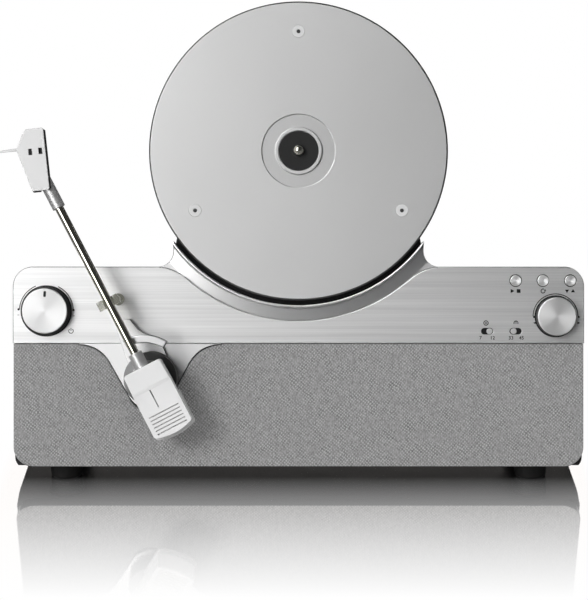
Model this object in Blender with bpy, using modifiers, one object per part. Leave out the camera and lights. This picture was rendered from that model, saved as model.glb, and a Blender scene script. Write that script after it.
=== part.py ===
"""A vertical record player: a leaning platter with speakers, controls and an automatic arm.

Units are metres. The face frame has X to the right, Y up along the leaning front face from the body's
bottom edge, and Z straight out of the face towards the listener. The finished model stands on +Z up.
"""

import math

import bmesh
import bpy
from mathutils import Euler, Matrix, Vector

NAME = "vertical_record_player"

# Body
LEAN = math.radians(16.5)
BODY_WIDTH = 0.400
BODY_HEIGHT = 0.142
BODY_DEPTH = 0.110
FLOOR_CLEARANCE = 0.0129
FACE_CORNER = 0.014
HOUSING_CORNER = 0.008
HOUSING_REVEAL = 0.0006
BACK_LOWER_CORNER = 0.006
BACK_UPPER_CORNER = 0.012
BACK_SIDE_CORNER = 0.010
WALL = 0.003
GAP = 0.0003
RUNNING_GAP = 0.00008
OVERRUN = 0.010

# Front panels
FASCIA_HEIGHT = 0.0538
PANEL_DEPTH = 0.008
FASCIA_SKIN = 0.0015
FASCIA_RIM = 0.0015
EDGE_ROUND = 0.0004
GRILLE_SINK = 0.0004
GRILLE_INSET = 0.0004
GRILLE_SKIN = 0.0012
GRILLE_RIM = 0.004
GRILLE_EDGE = 0.001
BAFFLE_THICKNESS = 0.003
PLINTH_SLOPE = math.radians(29.5)
PLINTH_HALF_WIDTH = 0.0349
PLINTH_FLARE_RADIUS = 0.0244
PLINTH_NOSE_RADIUS = 0.016
PLINTH_TAIL = 0.0004
PLINTH_SHIFT = -0.0014

# Platter and its bay
SPINDLE_RISE = 0.0804
PLATTER_RADIUS = 0.104
PLATTER_FACE = 0.010
PLATTER_DEPTH = 0.012
PLATTER_SKIN = 0.004
PLATTER_RIM = 0.005
PLATTER_BEVEL = 0.001
LABEL_RECESS_RADIUS = 0.0256
LABEL_RECESS_DEPTH = 0.001
CENTRE_RING_RADIUS = 0.0164
CENTRE_DISC_RADIUS = 0.0138
CENTRE_RISE = 0.0006
CENTRE_DISC_RISE = 0.0009
SPINDLE_RADIUS = 0.0036
SPINDLE_NOSE = 0.009
SPINDLE_TAIL = 0.034
PAD_CIRCLE = 0.083
PAD_RADIUS = 0.0045
PAD_HOLE = 0.0014
PAD_SINK = 0.001
BAY_GAP = 0.0034
LIP_WIDTH = 0.0014
LIP_HEIGHT = 0.007
COLLAR_RADIUS = 0.1183
COLLAR_BACK_RADIUS = 0.135
HORN_HALF_WIDTH = 0.0874
HORN_RISE = 0.0172
HORN_FILLET = 0.011
HORN_TAIL = 0.0005
HORN_TAIL_ANGLE = math.radians(80)
FLARE_ANGLE = math.radians(40)
FLARE_STEPS = 8
COVE_STEPS = 6
COVE_BEND_SHARE = 0.35
COVE_FOOT_SHARE = 0.12
COLLAR_STEPS = 72
FLOOR_RADIUS = 0.112

# Neck behind the platter
NECK_DEPTH = 0.038
NECK_TOP_RISE = 0.048
NECK_TOP_HALF_WIDTH = 0.046
NECK_TOP_CORNER = 0.042
NECK_SHOULDER = 0.0865
NECK_SHOULDER_RISE = 0.019
NECK_SHOULDER_CORNER = 0.030
NECK_FOOT_HALF_WIDTH = 0.115
NECK_FOOT_DROP = 0.030
NECK_COVER_THICKNESS = 0.003
PASSAGE_HALF_WIDTH = 0.060

# Platter drive
BELT_RADIUS = 0.054
BELT_THICKNESS = 0.0008
BELT_WIDTH = 0.004
BELT_LEVEL = -0.004
SUB_PLATTER_WEB = 0.003
SUB_PLATTER_RIM = 0.003
SUB_PLATTER_HUB = 0.010
SUB_PLATTER_BACK = -0.0062
MOTOR_OFFSET_ACROSS = 0.045
MOTOR_OFFSET_DOWN = 0.060
MOTOR_RADIUS = 0.012
MOTOR_LENGTH = 0.024
MOTOR_SHAFT_RADIUS = 0.001
MOTOR_SHAFT_SHARE = 0.4
PULLEY_RADIUS = 0.005
PULLEY_FLANGE = 0.001
PULLEY_HEIGHT = 0.0064
BEARING_RADIUS = 0.008
BEARING_FLANGE_RADIUS = 0.014
BEARING_FLANGE = 0.0012

# Speakers
SPEAKER_FROM_SIDE = 0.042
SPEAKER_HEIGHT = 0.045
SPEAKER_FLANGE_RADIUS = 0.033
SPEAKER_FLANGE = 0.002
SPEAKER_BASKET_RADIUS = 0.029
SPEAKER_MAGNET_RADIUS = 0.020
SPEAKER_BASKET_DEPTH = 0.020
SPEAKER_MAGNET_DEPTH = 0.014
SPEAKER_CONE_RADIUS = 0.026
SPEAKER_CONE_DEPTH = 0.010
SPEAKER_CAP_RADIUS = 0.009
SPEAKER_CAP_RISE = 0.003

# Controls
VOLUME_FROM_LEFT = 0.0235
VOLUME_FROM_TOP = 0.0310
VOLUME_SKIRT_RADIUS = 0.0172
VOLUME_FACE_RADIUS = 0.0157
VOLUME_KNOB_HEIGHT = 0.0095
VOLUME_KNOB_LIFT = 0.0013
VOLUME_PRESS = 0.0008
JOG_FROM_RIGHT = 0.0201
JOG_FROM_TOP = 0.0348
JOG_SKIRT_RADIUS = 0.0140
JOG_FACE_RADIUS = 0.0134
JOG_KNOB_HEIGHT = 0.0095
JOG_KNOB_LIFT = 0.0006
KNOB_ROUND = 0.0008
KNOB_WALL = 0.002
KNOB_BOSS_RADIUS = 0.0052
CONTROL_SHAFT_RADIUS = 0.003
CONTROL_SHAFT_REACH = 0.006
ENCODER_SIZE = 0.012
ENCODER_DEPTH = 0.0036
ENCODER_FLOOR = 0.001
BUTTONS_FROM_RIGHT = (0.0479, 0.0289, 0.0097)
BUTTONS_FROM_TOP = 0.0098
BUTTON_RADIUS = 0.0042
BUTTON_RISE = 0.0012
BUTTON_FLANGE = 0.0008
BUTTON_FLANGE_DEPTH = 0.0016
BUTTON_TRAVEL = 0.0008
BUTTON_CLEARANCE = 0.00035
BUTTON_ROUND = 0.0004
BUTTON_STEM = 0.002
SWITCHES_FROM_RIGHT = (0.0679, 0.0480)
SWITCHES_FROM_TOP = 0.0452
SWITCH_SLOT_HALF_LENGTH = 0.0043
SWITCH_SLOT_HALF_HEIGHT = 0.0023
SWITCH_THUMB_RADIUS = 0.0019
SWITCH_THUMB_RISE = 0.0008
SWITCH_OFFSET = 0.0015
SWITCH_SLIDE_HALF_LENGTH = 0.0066
SWITCH_SLIDE_HALF_HEIGHT = 0.0032
SWITCH_SLIDE_THICKNESS = 0.0014
BOARD_THICKNESS = 0.0016
CONTROL_BOARD_WIDTH = 0.082
CONTROL_BOARD_SHOULDER = 0.012
CONTROL_BOARD_MARGIN = 0.0028

# Tonearm. Levels of what tilts are counted from the tilt axis
PIVOT_FROM_LEFT = 0.0973
PIVOT_BELOW_SEAM = 0.0242
ARM_REST_ANGLE = math.radians(27.5)
ARM_LEVEL = 0.031
BASE_RADIUS = 0.0187
BASE_HEIGHT = 0.016
BASE_ROUND = 0.0012
ARM_BEARING_RADIUS = 0.008
ARM_BEARING_TAIL = 0.024
ARM_SHAFT_RADIUS = 0.004
YOKE_RADIUS = 0.013
YOKE_THICKNESS = 0.0022
EAR_GAP = 0.016
EAR_THICKNESS = 0.0026
EAR_HALF_LENGTH = 0.0045
EAR_RISE = 0.004
TILT_PIN_RADIUS = 0.0015
TUBE_RADIUS = 0.0028
TUBE_END = 0.150
LOWER_COLLAR_RADIUS = 0.0044
LOWER_COLLAR_END = 0.0205
UPPER_COLLAR_RADIUS = 0.0045
UPPER_COLLAR_START = 0.1327
UPPER_COLLAR_END = 0.158
CARRIER_HALF_LENGTH = 0.0072
CARRIER_HALF_HEIGHT = 0.0055

# Counterweight block, along the arm from the pivot
BLOCK_FRONT = 0.0097
BLOCK_SIDE_END = 0.0373
BLOCK_ARC_END = 0.0401
BLOCK_HALF_WIDTH = 0.0143
BLOCK_FRONT_HALF_WIDTH = 0.0138
BLOCK_WAIST = 0.0052
BLOCK_CORNER = 0.0022
BLOCK_BOTTOM = -0.0070
BLOCK_TOP = 0.0100
BLOCK_STEP = 0.0005
BLOCK_SKIN = 0.002
BLOCK_EDGE = 0.0008
RIB_COUNT = 6
RIB_FIRST = 0.0235
RIB_LAST = 0.0361
RIB_HALF_LENGTH = 0.0112
RIB_GROOVE = 0.0009
RIB_DEPTH = 0.0006
MARK_ACROSS = -0.0018
MARK_START = 0.0092
MARK_END = 0.0200
WEIGHT_FRONT = 0.0125
UNDER_PLATE_FRONT = 0.0155
UNDER_PLATE_THICKNESS = 0.0022
UNDER_PLATE_MARGIN = 0.0009

# Headshell, in a frame turned from the tube by the offset angle
OFFSET_ANGLE = math.radians(21.4)
HEADSHELL_START = 0.1480
HEADSHELL_THICKNESS = 0.0025
HEADSHELL_RIGHT = 0.0012
HEADSHELL_TAIL = -0.0015
HEADSHELL_TAIL_LEFT = -0.0107
HEADSHELL_NOSE = 0.0411
HEADSHELL_NOSE_LEFT = -0.0108
HEADSHELL_WIDEST_LEFT = -0.0186
HEADSHELL_WIDEST = 0.0278
HEADSHELL_SHOULDER_LEFT = -0.0137
HEADSHELL_SHOULDER = 0.0380
HEADSHELL_CORNER = 0.0015
HEADSHELL_SKIRT = 0.0012
HEADSHELL_SKIRT_DROP = 0.0032
HEADSHELL_SKIRT_START = 0.0120
HEADSHELL_SKIRT_END = 0.0385
CARTRIDGE_CENTRE = -0.0058
SLOT_HALF_SPACING = 0.0035
SLOT_CENTRE = 0.0253
SLOT_WIDTH = 0.0021
SLOT_LENGTH = 0.0043
CARTRIDGE_WIDTH = 0.0096
CARTRIDGE_BACK = 0.0145
CARTRIDGE_FRONT = 0.0370
CARTRIDGE_DROP = 0.0150
CARTRIDGE_NOSE = 0.0060
STYLUS_TIP_LEVEL = 0.0135
STYLUS_FORWARD = 0.0388
STYLUS_BACK = 0.0260
STYLUS_WIDTH = 0.0058
STYLUS_TIP = 0.0015
FINGER_TIP = -0.0306
FINGER_ROOT = -0.0140
FINGER_FORWARD = 0.0280
FINGER_WIDTH = 0.0021
FINGER_THICKNESS = 0.0010

# Arm rest and cue lift
REST_ALONG = 0.0597
REST_POST_ACROSS = 0.0047
REST_POST_RADIUS = 0.0030
REST_FOOT_RADIUS = 0.0042
REST_FOOT_HEIGHT = 0.002
REST_JAW = 0.0045
REST_LIP = 0.0040
REST_DEPTH = 0.0066
REST_DROP = 0.0016
REST_CRADLE = 0.0030
REST_JAW_RISE = 0.0025
RAIL_CENTRE_LEFT = 0.0033
RAIL_RADIUS = 0.0280
RAIL_START = math.radians(119)
RAIL_END = math.radians(59)
RAIL_WIDTH = 0.0054
RAIL_THICKNESS = 0.0050
RAIL_EDGE = 0.0008
RAIL_STEM_RADIUS = 0.0016
RAIL_STEM_ANGLE = math.radians(90)
RAIL_STEM_TAIL = 0.0150
RAIL_STEM_CLEARANCE = 0.0003
BRACKET_THICKNESS = 0.0040
BRACKET_CORNERS = (
    (-0.0192, 0.0412, 0.0015),
    (-0.0245, 0.0345, 0.0015),
    (-0.0150, 0.0060, 0.0),
    (0.0150, 0.0060, 0.0),
    (0.0060, 0.0270, 0.0015),
    (-0.0083, 0.0330, 0.0120),
    (-0.0150, 0.0412, 0.0005),
)
LIFT_MOTOR_RADIUS = 0.0065
LIFT_MOTOR_CLEARANCE = 0.0013

# Arm drive, behind the baffle
GEAR_MODULE = 0.0010
GEAR_TEETH = 48
PINION_TEETH = 12
GEAR_THICKNESS = 0.003
GEAR_HUB_RADIUS = 0.007
GEAR_BACKLASH = 0.00030
ADDENDUM_SHARE = 0.9
DEDENDUM_SHARE = 1.25
PRESSURE_ANGLE = math.radians(20)
FLANK_POINTS = 4
SECTOR_TEETH_BELOW = 2
SECTOR_TEETH_ABOVE = 8
ARM_MOTOR_RADIUS = 0.010
ARM_MOTOR_LENGTH = 0.022
CHASSIS_LEVEL = -0.032
CHASSIS_THICKNESS = 0.002
CHASSIS_LEFT = -0.020
CHASSIS_RIGHT = 0.044
CHASSIS_BOTTOM = -0.020
CHASSIS_TOP = 0.036
CHASSIS_POST_RADIUS = 0.003
CHASSIS_CORNER = 0.004

# Feet
FOOT_RADIUS = 0.011
FOOT_TOP_RADIUS = 0.0122
FOOT_FROM_SIDE = 0.035
FOOT_FROM_FRONT = 0.024
FOOT_FROM_BACK = 0.020
FOOT_CHAMFER = 0.001

# Boards and sockets
MAIN_BOARD_WIDTH = 0.110
MAIN_BOARD_DEPTH = 0.050
MAIN_BOARD_FROM_BACK = 0.020
BOSS_HEIGHT = 0.004
BOSS_RADIUS = 0.003
SOCKETS_FROM_RIGHT = 0.110
SOCKETS_LEVEL = 0.042
SOCKET_SPACING = 0.018
SOCKET_RADIUS = 0.0042
SOCKET_BORE = 0.0018
SOCKET_REACH = 0.006
SOCKET_BODY = 0.010
INLET_BORE = 0.0032
INLET_PIN = 0.0010

# Vents in the back, one group behind each speaker
VENT_COUNT = 6
VENT_SPACING = 0.0062
VENT_HALF_WIDTH = 0.0012
VENT_HALF_LENGTH = 0.015
VENT_FROM_SIDE = 0.062
VENT_LEVEL = 0.086

# How finely round forms are divided
ROUND_STEPS = 32
PLATTER_STEPS = 64
SMALL_STEPS = 20
ROD_STEPS = 16
POST_STEPS = 12
ARC_STEP = math.radians(15)
FINE_STEP = math.radians(6)
SOFTENED_ANGLE = math.radians(40)
TAIL_STEP = math.radians(6)
MERGE_DISTANCE = 0.000001

FINISHES = {
    "brushed_metal": ((0.62, 0.62, 0.61), 0.32, 1.0),
    "satin_metal": ((0.68, 0.68, 0.67), 0.38, 1.0),
    "polished_metal": ((0.80, 0.80, 0.78), 0.12, 1.0),
    "gunmetal": ((0.10, 0.11, 0.11), 0.30, 0.9),
    "steel": ((0.50, 0.50, 0.50), 0.30, 1.0),
    "brass": ((0.70, 0.52, 0.22), 0.30, 1.0),
    "cloth": ((0.25, 0.25, 0.25), 0.90, 0.0),
    "black_plastic": ((0.020, 0.020, 0.022), 0.45, 0.0),
    "grey_plastic": ((0.20, 0.20, 0.20), 0.50, 0.0),
    "white_plastic": ((0.72, 0.72, 0.71), 0.35, 0.0),
    "silver_paint": ((0.60, 0.60, 0.60), 0.35, 0.4),
    "clear_grey": ((0.42, 0.43, 0.41), 0.30, 0.0),
    "pale_rubber": ((0.62, 0.63, 0.63), 0.55, 0.0),
    "rubber": ((0.025, 0.025, 0.025), 0.80, 0.0),
    "board": ((0.03, 0.14, 0.07), 0.50, 0.0),
}


def clear_scene():
    for thing in list(bpy.data.objects):
        bpy.data.objects.remove(thing, do_unlink=True)


def new_collection(name):
    made = bpy.data.collections.new(name)
    bpy.context.scene.collection.children.link(made)
    return made


def new_empty(name, parent=None, location=(0, 0, 0), rotation=(0, 0, 0)):
    made = bpy.data.objects.new(name, None)
    PARTS.objects.link(made)
    made.parent = parent
    made.location = location
    made.rotation_euler = rotation
    bpy.context.view_layer.update()
    return made


def finish_of(name, finish):
    colour, roughness, metallic = FINISHES[finish]
    made = bpy.data.materials.new(name)
    made.use_nodes = True
    shader = made.node_tree.nodes["Principled BSDF"]
    shader.inputs["Base Color"].default_value = (*colour, 1.0)
    shader.inputs["Roughness"].default_value = roughness
    shader.inputs["Metallic"].default_value = metallic
    return made


def place(name, data, parent, location, rotation, finish):
    """Puts an object with this data into the parts, or among the cutters where it has no finish."""
    made = bpy.data.objects.new(name, data)
    if finish:
        PARTS.objects.link(made)
        data.materials.clear()
        data.materials.append(finish_of(name, finish))
    else:
        CUTTERS.objects.link(made)
        made.hide_render = True
        made.display_type = "WIRE"
    made.parent = parent
    made.location = location
    made.rotation_euler = rotation
    bpy.context.view_layer.update()
    return made


def arc(centre, radius, start, end, step=ARC_STEP):
    """Points along a circle from one angle to another, both ends included."""
    count = max(1, round(abs(end - start) / step))
    turn = (end - start) / count
    return [
        (centre[0] + radius * math.cos(start + i * turn), centre[1] + radius * math.sin(start + i * turn))
        for i in range(count + 1)
    ]


def circle(centre, radius, steps=SMALL_STEPS):
    turn = math.tau / steps
    return [
        (centre[0] + radius * math.cos(i * turn), centre[1] + radius * math.sin(i * turn))
        for i in range(steps)
    ]


def capsule(centre, half_length, radius):
    """A slot with round ends along X."""
    reach = half_length - radius
    right = arc((centre[0] + reach, centre[1]), radius, -math.pi / 2, math.pi / 2)
    left = arc((centre[0] - reach, centre[1]), radius, math.pi / 2, 3 * math.pi / 2)
    return right + left


def rectangle(left, bottom, right, top, radius=0.0):
    return [(left, bottom, radius), (right, bottom, radius), (right, top, radius), (left, top, radius)]


def inset(corners, distance):
    """The outline moved inwards, its corner radii with it. The corners run anticlockwise."""
    moved = []
    for i, (x, y, radius) in enumerate(corners):
        here = Vector((x, y))
        before = (here - Vector(corners[i - 1][:2])).normalized()
        after = (Vector(corners[(i + 1) % len(corners)][:2]) - here).normalized()
        turn = before.x * after.y - before.y * after.x
        inwards = Vector((-before.y, before.x)) + Vector((-after.y, after.x))
        shift = inwards * distance / (1 + before.dot(after))
        kept = radius - math.copysign(distance, turn) if radius else 0.0
        moved.append((x + shift.x, y + shift.y, max(0.0, kept)))
    return moved


def rounded(corners, step=ARC_STEP):
    """Points of an outline whose corners are (x, y, radius)."""
    points = []
    for i, (x, y, radius) in enumerate(corners):
        here = Vector((x, y))
        if not radius:
            points.append((x, y))
            continue
        before = (here - Vector(corners[i - 1][:2])).normalized()
        after = (Vector(corners[(i + 1) % len(corners)][:2]) - here).normalized()
        turn = math.atan2(before.x * after.y - before.y * after.x, before.dot(after))
        reach = radius * math.tan(abs(turn) / 2)
        side = math.copysign(1.0, turn)
        centre = here - before * reach + Vector((-before.y, before.x)) * radius * side
        first = here - before * reach - centre
        start = math.atan2(first.y, first.x)
        points += arc(centre, radius, start, start + turn, step)
    return points


def plate(name, outlines, low, high, parent, finish=None, location=(0, 0, 0), rotation=(0, 0, 0), edge=0.0):
    """A flat outline, with any holes after it, filled between two levels of the parent's Z."""
    curve = bpy.data.curves.new(name, "CURVE")
    curve.dimensions = "2D"
    curve.fill_mode = "BOTH"
    for outline in outlines:
        spline = curve.splines.new("POLY")
        spline.points.add(len(outline) - 1)
        for point, (x, y) in zip(spline.points, outline):
            point.co = (x, y, 0.0, 1.0)
        spline.use_cyclic_u = True
    curve.extrude = (high - low) / 2 - edge
    curve.bevel_depth = edge
    curve.offset = -edge
    curve.bevel_resolution = 0
    middle = Matrix.Translation((0, 0, (high + low) / 2))
    turned_to = Matrix.LocRotScale(Vector(location), Euler(rotation), None)
    spot = (turned_to @ middle).to_translation()
    return place(name, curve, parent, spot, rotation, finish)


def as_mesh(source):
    """The same object as a mesh, with a curve's caps welded to its sides."""
    graph = bpy.context.evaluated_depsgraph_get()
    mesh = bpy.data.meshes.new_from_object(source.evaluated_get(graph))
    form = bmesh.new()
    form.from_mesh(mesh)
    bmesh.ops.remove_doubles(form, verts=form.verts, dist=MERGE_DISTANCE)
    bmesh.ops.recalc_face_normals(form, faces=form.faces)
    form.to_mesh(mesh)
    form.free()
    kept = [(key, getattr(source, key)) for key in ("name", "parent", "hide_render", "display_type")]
    kept += [(key, getattr(source, key).copy()) for key in ("location", "rotation_euler")]
    home = source.users_collection[0]
    bpy.data.objects.remove(source, do_unlink=True)
    made = bpy.data.objects.new("mesh", mesh)
    home.objects.link(made)
    for key, value in kept:
        setattr(made, key, value)
    mesh.name = made.name
    bpy.context.view_layer.update()
    return made


def solid_plate(*args, **kwargs):
    return as_mesh(plate(*args, **kwargs))


def turned(name, profile, parent, finish=None, location=(0, 0, 0), rotation=(0, 0, 0), steps=SMALL_STEPS):
    """A profile of (radius, level) down its outer side, turned about Z. A bore closes the loop."""
    mesh = bpy.data.meshes.new(name)
    form = bmesh.new()
    points = [form.verts.new((radius, 0, level)) for radius, level in profile]
    for first, second in zip(points, points[1:]):
        form.edges.new((first, second))
    if profile[0][0] > 0:
        form.edges.new((points[-1], points[0]))
    form.to_mesh(mesh)
    form.free()
    made = place(name, mesh, parent, location, rotation, finish)
    screw = made.modifiers.new("Turn", "SCREW")
    screw.axis = "Z"
    screw.steps = steps
    screw.render_steps = steps
    screw.use_merge_vertices = True
    screw.merge_threshold = MERGE_DISTANCE
    screw.use_smooth_shade = True
    return made


def disc(name, radius, low, high, parent, finish=None, centre=(0, 0), steps=SMALL_STEPS):
    """A plain cylinder along the parent's Z between two levels."""
    profile = [(0, high), (radius, high), (radius, low), (0, low)]
    return turned(name, profile, parent, finish, (*centre, 0), steps=steps)


def tube(name, radius, bore, low, high, parent, finish=None, centre=(0, 0), steps=SMALL_STEPS):
    profile = [(bore, high), (radius, high), (radius, low), (bore, low)]
    return turned(name, profile, parent, finish, (*centre, 0), steps=steps)


def rod(name, radius, start, end, parent, finish=None, steps=ROD_STEPS):
    """A straight cylinder between two points of the parent's frame."""
    first, last = Vector(start), Vector(end)
    mesh = bpy.data.meshes.new(name)
    form = bmesh.new()
    length = (last - first).length
    bmesh.ops.create_cone(form, cap_ends=True, segments=steps, radius1=radius, radius2=radius, depth=length)
    form.to_mesh(mesh)
    form.free()
    spin = (last - first).to_track_quat("Z", "Y").to_euler()
    return place(name, mesh, parent, (first + last) / 2, spin, finish)


def block(name, low, high, parent, finish=None, bevel=0.0):
    """A box between two corners of the parent's frame."""
    mesh = bpy.data.meshes.new(name)
    form = bmesh.new()
    bmesh.ops.create_cube(form, size=1.0)
    size = [b - a for a, b in zip(low, high)]
    bmesh.ops.scale(form, vec=size, verts=form.verts)
    form.to_mesh(mesh)
    form.free()
    middle = [(a + b) / 2 for a, b in zip(low, high)]
    made = place(name, mesh, parent, middle, (0, 0, 0), finish)
    if bevel:
        soften(made, bevel)
    return made


def soften(thing, width, segments=2):
    edge = thing.modifiers.new("Edge", "BEVEL")
    edge.width = width
    edge.segments = segments
    edge.limit_method = "ANGLE"
    edge.angle_limit = SOFTENED_ANGLE


def combine(target, others, operation):
    for other in others:
        step = target.modifiers.new(other.name, "BOOLEAN")
        step.operation = operation
        step.object = other
        step.solver = "EXACT"
    return target


def cut(target, *cutters):
    return combine(target, cutters, "DIFFERENCE")


def join(target, *others):
    return combine(target, others, "UNION")


def keep_inside(target, *bounds):
    return combine(target, bounds, "INTERSECT")


# What several pieces share

BODY_HALF = BODY_WIDTH / 2
SEAM_HEIGHT = BODY_HEIGHT - FASCIA_HEIGHT
SPINDLE = (0.0, BODY_HEIGHT + SPINDLE_RISE)
BAY_RADIUS = PLATTER_RADIUS + BAY_GAP
PANEL_BACK = -PANEL_DEPTH + GAP
HOUSING_TOP = BODY_HEIGHT - HOUSING_REVEAL
NECK_FOOT = BODY_HEIGHT - NECK_FOOT_DROP
MOTOR_SPOT = (MOTOR_OFFSET_ACROSS, SPINDLE[1] - MOTOR_OFFSET_DOWN)
VOLUME_SPOT = (-BODY_HALF + VOLUME_FROM_LEFT, BODY_HEIGHT - VOLUME_FROM_TOP)
JOG_SPOT = (BODY_HALF - JOG_FROM_RIGHT, BODY_HEIGHT - JOG_FROM_TOP)
BUTTON_SPOTS = [(BODY_HALF - reach, BODY_HEIGHT - BUTTONS_FROM_TOP) for reach in BUTTONS_FROM_RIGHT]
SWITCH_SPOTS = [(BODY_HALF - reach, BODY_HEIGHT - SWITCHES_FROM_TOP) for reach in SWITCHES_FROM_RIGHT]
SPEAKER_ACROSS = BODY_HALF - SPEAKER_FROM_SIDE
PIVOT = (-BODY_HALF + PIVOT_FROM_LEFT, SEAM_HEIGHT - PIVOT_BELOW_SEAM)
RAIL_CENTRE = (PIVOT[0] - RAIL_CENTRE_LEFT, PIVOT[1])
FLOOR_BACK = -PANEL_DEPTH - WALL
CONTROL_BOARD_TOP = PANEL_BACK + BOARD_THICKNESS
MAIN_BOARD_BACK = BODY_DEPTH - MAIN_BOARD_FROM_BACK
SOCKETS_SPOT = (BODY_HALF - SOCKETS_FROM_RIGHT, BODY_DEPTH, SOCKETS_LEVEL)

clear_scene()
PARTS = new_collection(NAME)
CUTTERS = new_collection("cutters")
ROOT = new_empty("root")
FACE = new_empty("face", ROOT, (0, 0, FLOOR_CLEARANCE), (math.pi / 2 - LEAN, 0, 0))
SOCKETS = new_empty("sockets", ROOT, SOCKETS_SPOT, (math.pi / 2, 0, math.pi))
PLATTER_AXIS = new_empty("platter_axis", FACE, (*SPINDLE, 0))
MOTOR_AXIS = new_empty("motor_axis", FACE, (*MOTOR_SPOT, 0))
ARM_FRAME = new_empty("arm_axis", FACE, (*PIVOT, 0), (0, 0, ARM_REST_ANGLE))
TILT_AXIS = new_empty("tilt_axis", ARM_FRAME, (0, 0, ARM_LEVEL))
HEADSHELL_FRAME = new_empty("headshell_frame", TILT_AXIS, (0, HEADSHELL_START, 0), (0, 0, -OFFSET_ANGLE))


def face_outline(extra=0.0):
    """The housing's front outline, inset by extra."""
    corners = rectangle(-BODY_HALF + HOUSING_REVEAL, 0.0, BODY_HALF - HOUSING_REVEAL, HOUSING_TOP)
    radii = (HOUSING_CORNER, HOUSING_CORNER, FACE_CORNER, FACE_CORNER)
    return inset([(x, y, radius) for (x, y, _), radius in zip(corners, radii)], extra)


def side_outline(front, extra=0.0):
    """The housing from the side, as depth behind the face and height along it, inset by extra."""
    low = extra / math.cos(LEAN)
    back = BODY_DEPTH - extra
    top = HOUSING_TOP - extra
    heel = (back - low * math.sin(LEAN)) * math.cos(LEAN)
    lid = (back - top * math.sin(LEAN)) / math.cos(LEAN)
    return [
        (front, front * math.tan(LEAN) + low, 0.0),
        (heel, heel * math.tan(LEAN) + low, max(BACK_LOWER_CORNER - extra, 0.0)),
        (lid, top, max(BACK_UPPER_CORNER - extra, 0.0)),
        (front, top, 0.0),
    ]


def neck_outline():
    """The neck from the front: shoulders that meet the body's top in fillets, and a round head."""
    head = SPINDLE[1] + NECK_TOP_RISE
    shoulder = BODY_HEIGHT + NECK_SHOULDER_RISE
    return [
        (-NECK_FOOT_HALF_WIDTH, NECK_FOOT, 0.0),
        (NECK_FOOT_HALF_WIDTH, NECK_FOOT, 0.0),
        (NECK_FOOT_HALF_WIDTH, HOUSING_TOP, 0.0),
        (HORN_HALF_WIDTH, HOUSING_TOP, HORN_FILLET),
        (NECK_SHOULDER, shoulder, NECK_SHOULDER_CORNER),
        (NECK_TOP_HALF_WIDTH, head, NECK_TOP_CORNER),
        (-NECK_TOP_HALF_WIDTH, head, NECK_TOP_CORNER),
        (-NECK_SHOULDER, shoulder, NECK_SHOULDER_CORNER),
        (-HORN_HALF_WIDTH, HOUSING_TOP, HORN_FILLET),
        (-NECK_FOOT_HALF_WIDTH, HOUSING_TOP, 0.0),
    ]


def flare(extra, side):
    """Points from the body's top edge round into the collar's circle, on the right for side 1."""
    radius = COLLAR_RADIUS + extra
    touch = Vector((radius * math.sin(FLARE_ANGLE), SPINDLE[1] - radius * math.cos(FLARE_ANGLE)))
    along = Vector((math.cos(FLARE_ANGLE), math.sin(FLARE_ANGLE)))
    top = BODY_HEIGHT - HORN_TAIL - extra
    bend = touch + along * (top - touch.y) / along.y
    start = Vector((horn_tail_reach() + extra, top))
    points = []
    for i in range(FLARE_STEPS):
        share = i / FLARE_STEPS
        point = start * (1 - share) ** 2 + bend * 2 * share * (1 - share) + touch * share**2
        points.append((point.x * side, point.y))
    return points


def horn_tail_reach():
    return HORN_HALF_WIDTH + HORN_FILLET - HORN_FILLET * math.cos(HORN_TAIL_ANGLE)


def bay_edge(extra):
    """The fascia's edge along the collar, from the right end of the bay to the left one."""
    turn = math.pi / 2 - FLARE_ANGLE
    lower = arc(SPINDLE, COLLAR_RADIUS + extra, -turn, -math.pi + turn, FINE_STEP)
    return flare(extra, 1) + lower + flare(extra, -1)[::-1]


def fascia_outline(extra=0.0):
    """The fascia, inset by extra, anticlockwise from its lower left corner."""
    left, bottom = -BODY_HALF + extra, SEAM_HEIGHT + extra + (0 if extra else GAP / 2)
    top = BODY_HEIGHT - extra
    corner = FACE_CORNER - extra
    tail = horn_tail_reach() + extra + GAP
    right_corner = arc((-left - corner, top - corner), corner, 0, math.pi / 2)
    left_corner = arc((left + corner, top - corner), corner, math.pi / 2, math.pi)
    edge = [(left, bottom), (-left, bottom), *right_corner, (tail, top)]
    edge += bay_edge(extra + GAP)
    return edge + [(-tail, top), *left_corner]


def plinth_corners():
    """The V under the fascia, its upper corners flared along the seam."""
    top = SEAM_HEIGHT - GAP / 2
    start = top - PLINTH_TAIL
    drop = PLINTH_HALF_WIDTH / math.tan(PLINTH_SLOPE)
    tail = PLINTH_FLARE_RADIUS * math.tan((math.pi / 2 - PLINTH_SLOPE) / 2) + PLINTH_TAIL
    centre = PIVOT[0] + PLINTH_SHIFT
    return [
        (centre - PLINTH_HALF_WIDTH - tail, top, 0.0),
        (centre - PLINTH_HALF_WIDTH - tail, start, 0.0),
        (centre - PLINTH_HALF_WIDTH, start, PLINTH_FLARE_RADIUS),
        (centre, start - drop, PLINTH_NOSE_RADIUS),
        (centre + PLINTH_HALF_WIDTH, start, PLINTH_FLARE_RADIUS),
        (centre + PLINTH_HALF_WIDTH + tail, start, 0.0),
        (centre + PLINTH_HALF_WIDTH + tail, top, 0.0),
    ]


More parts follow.
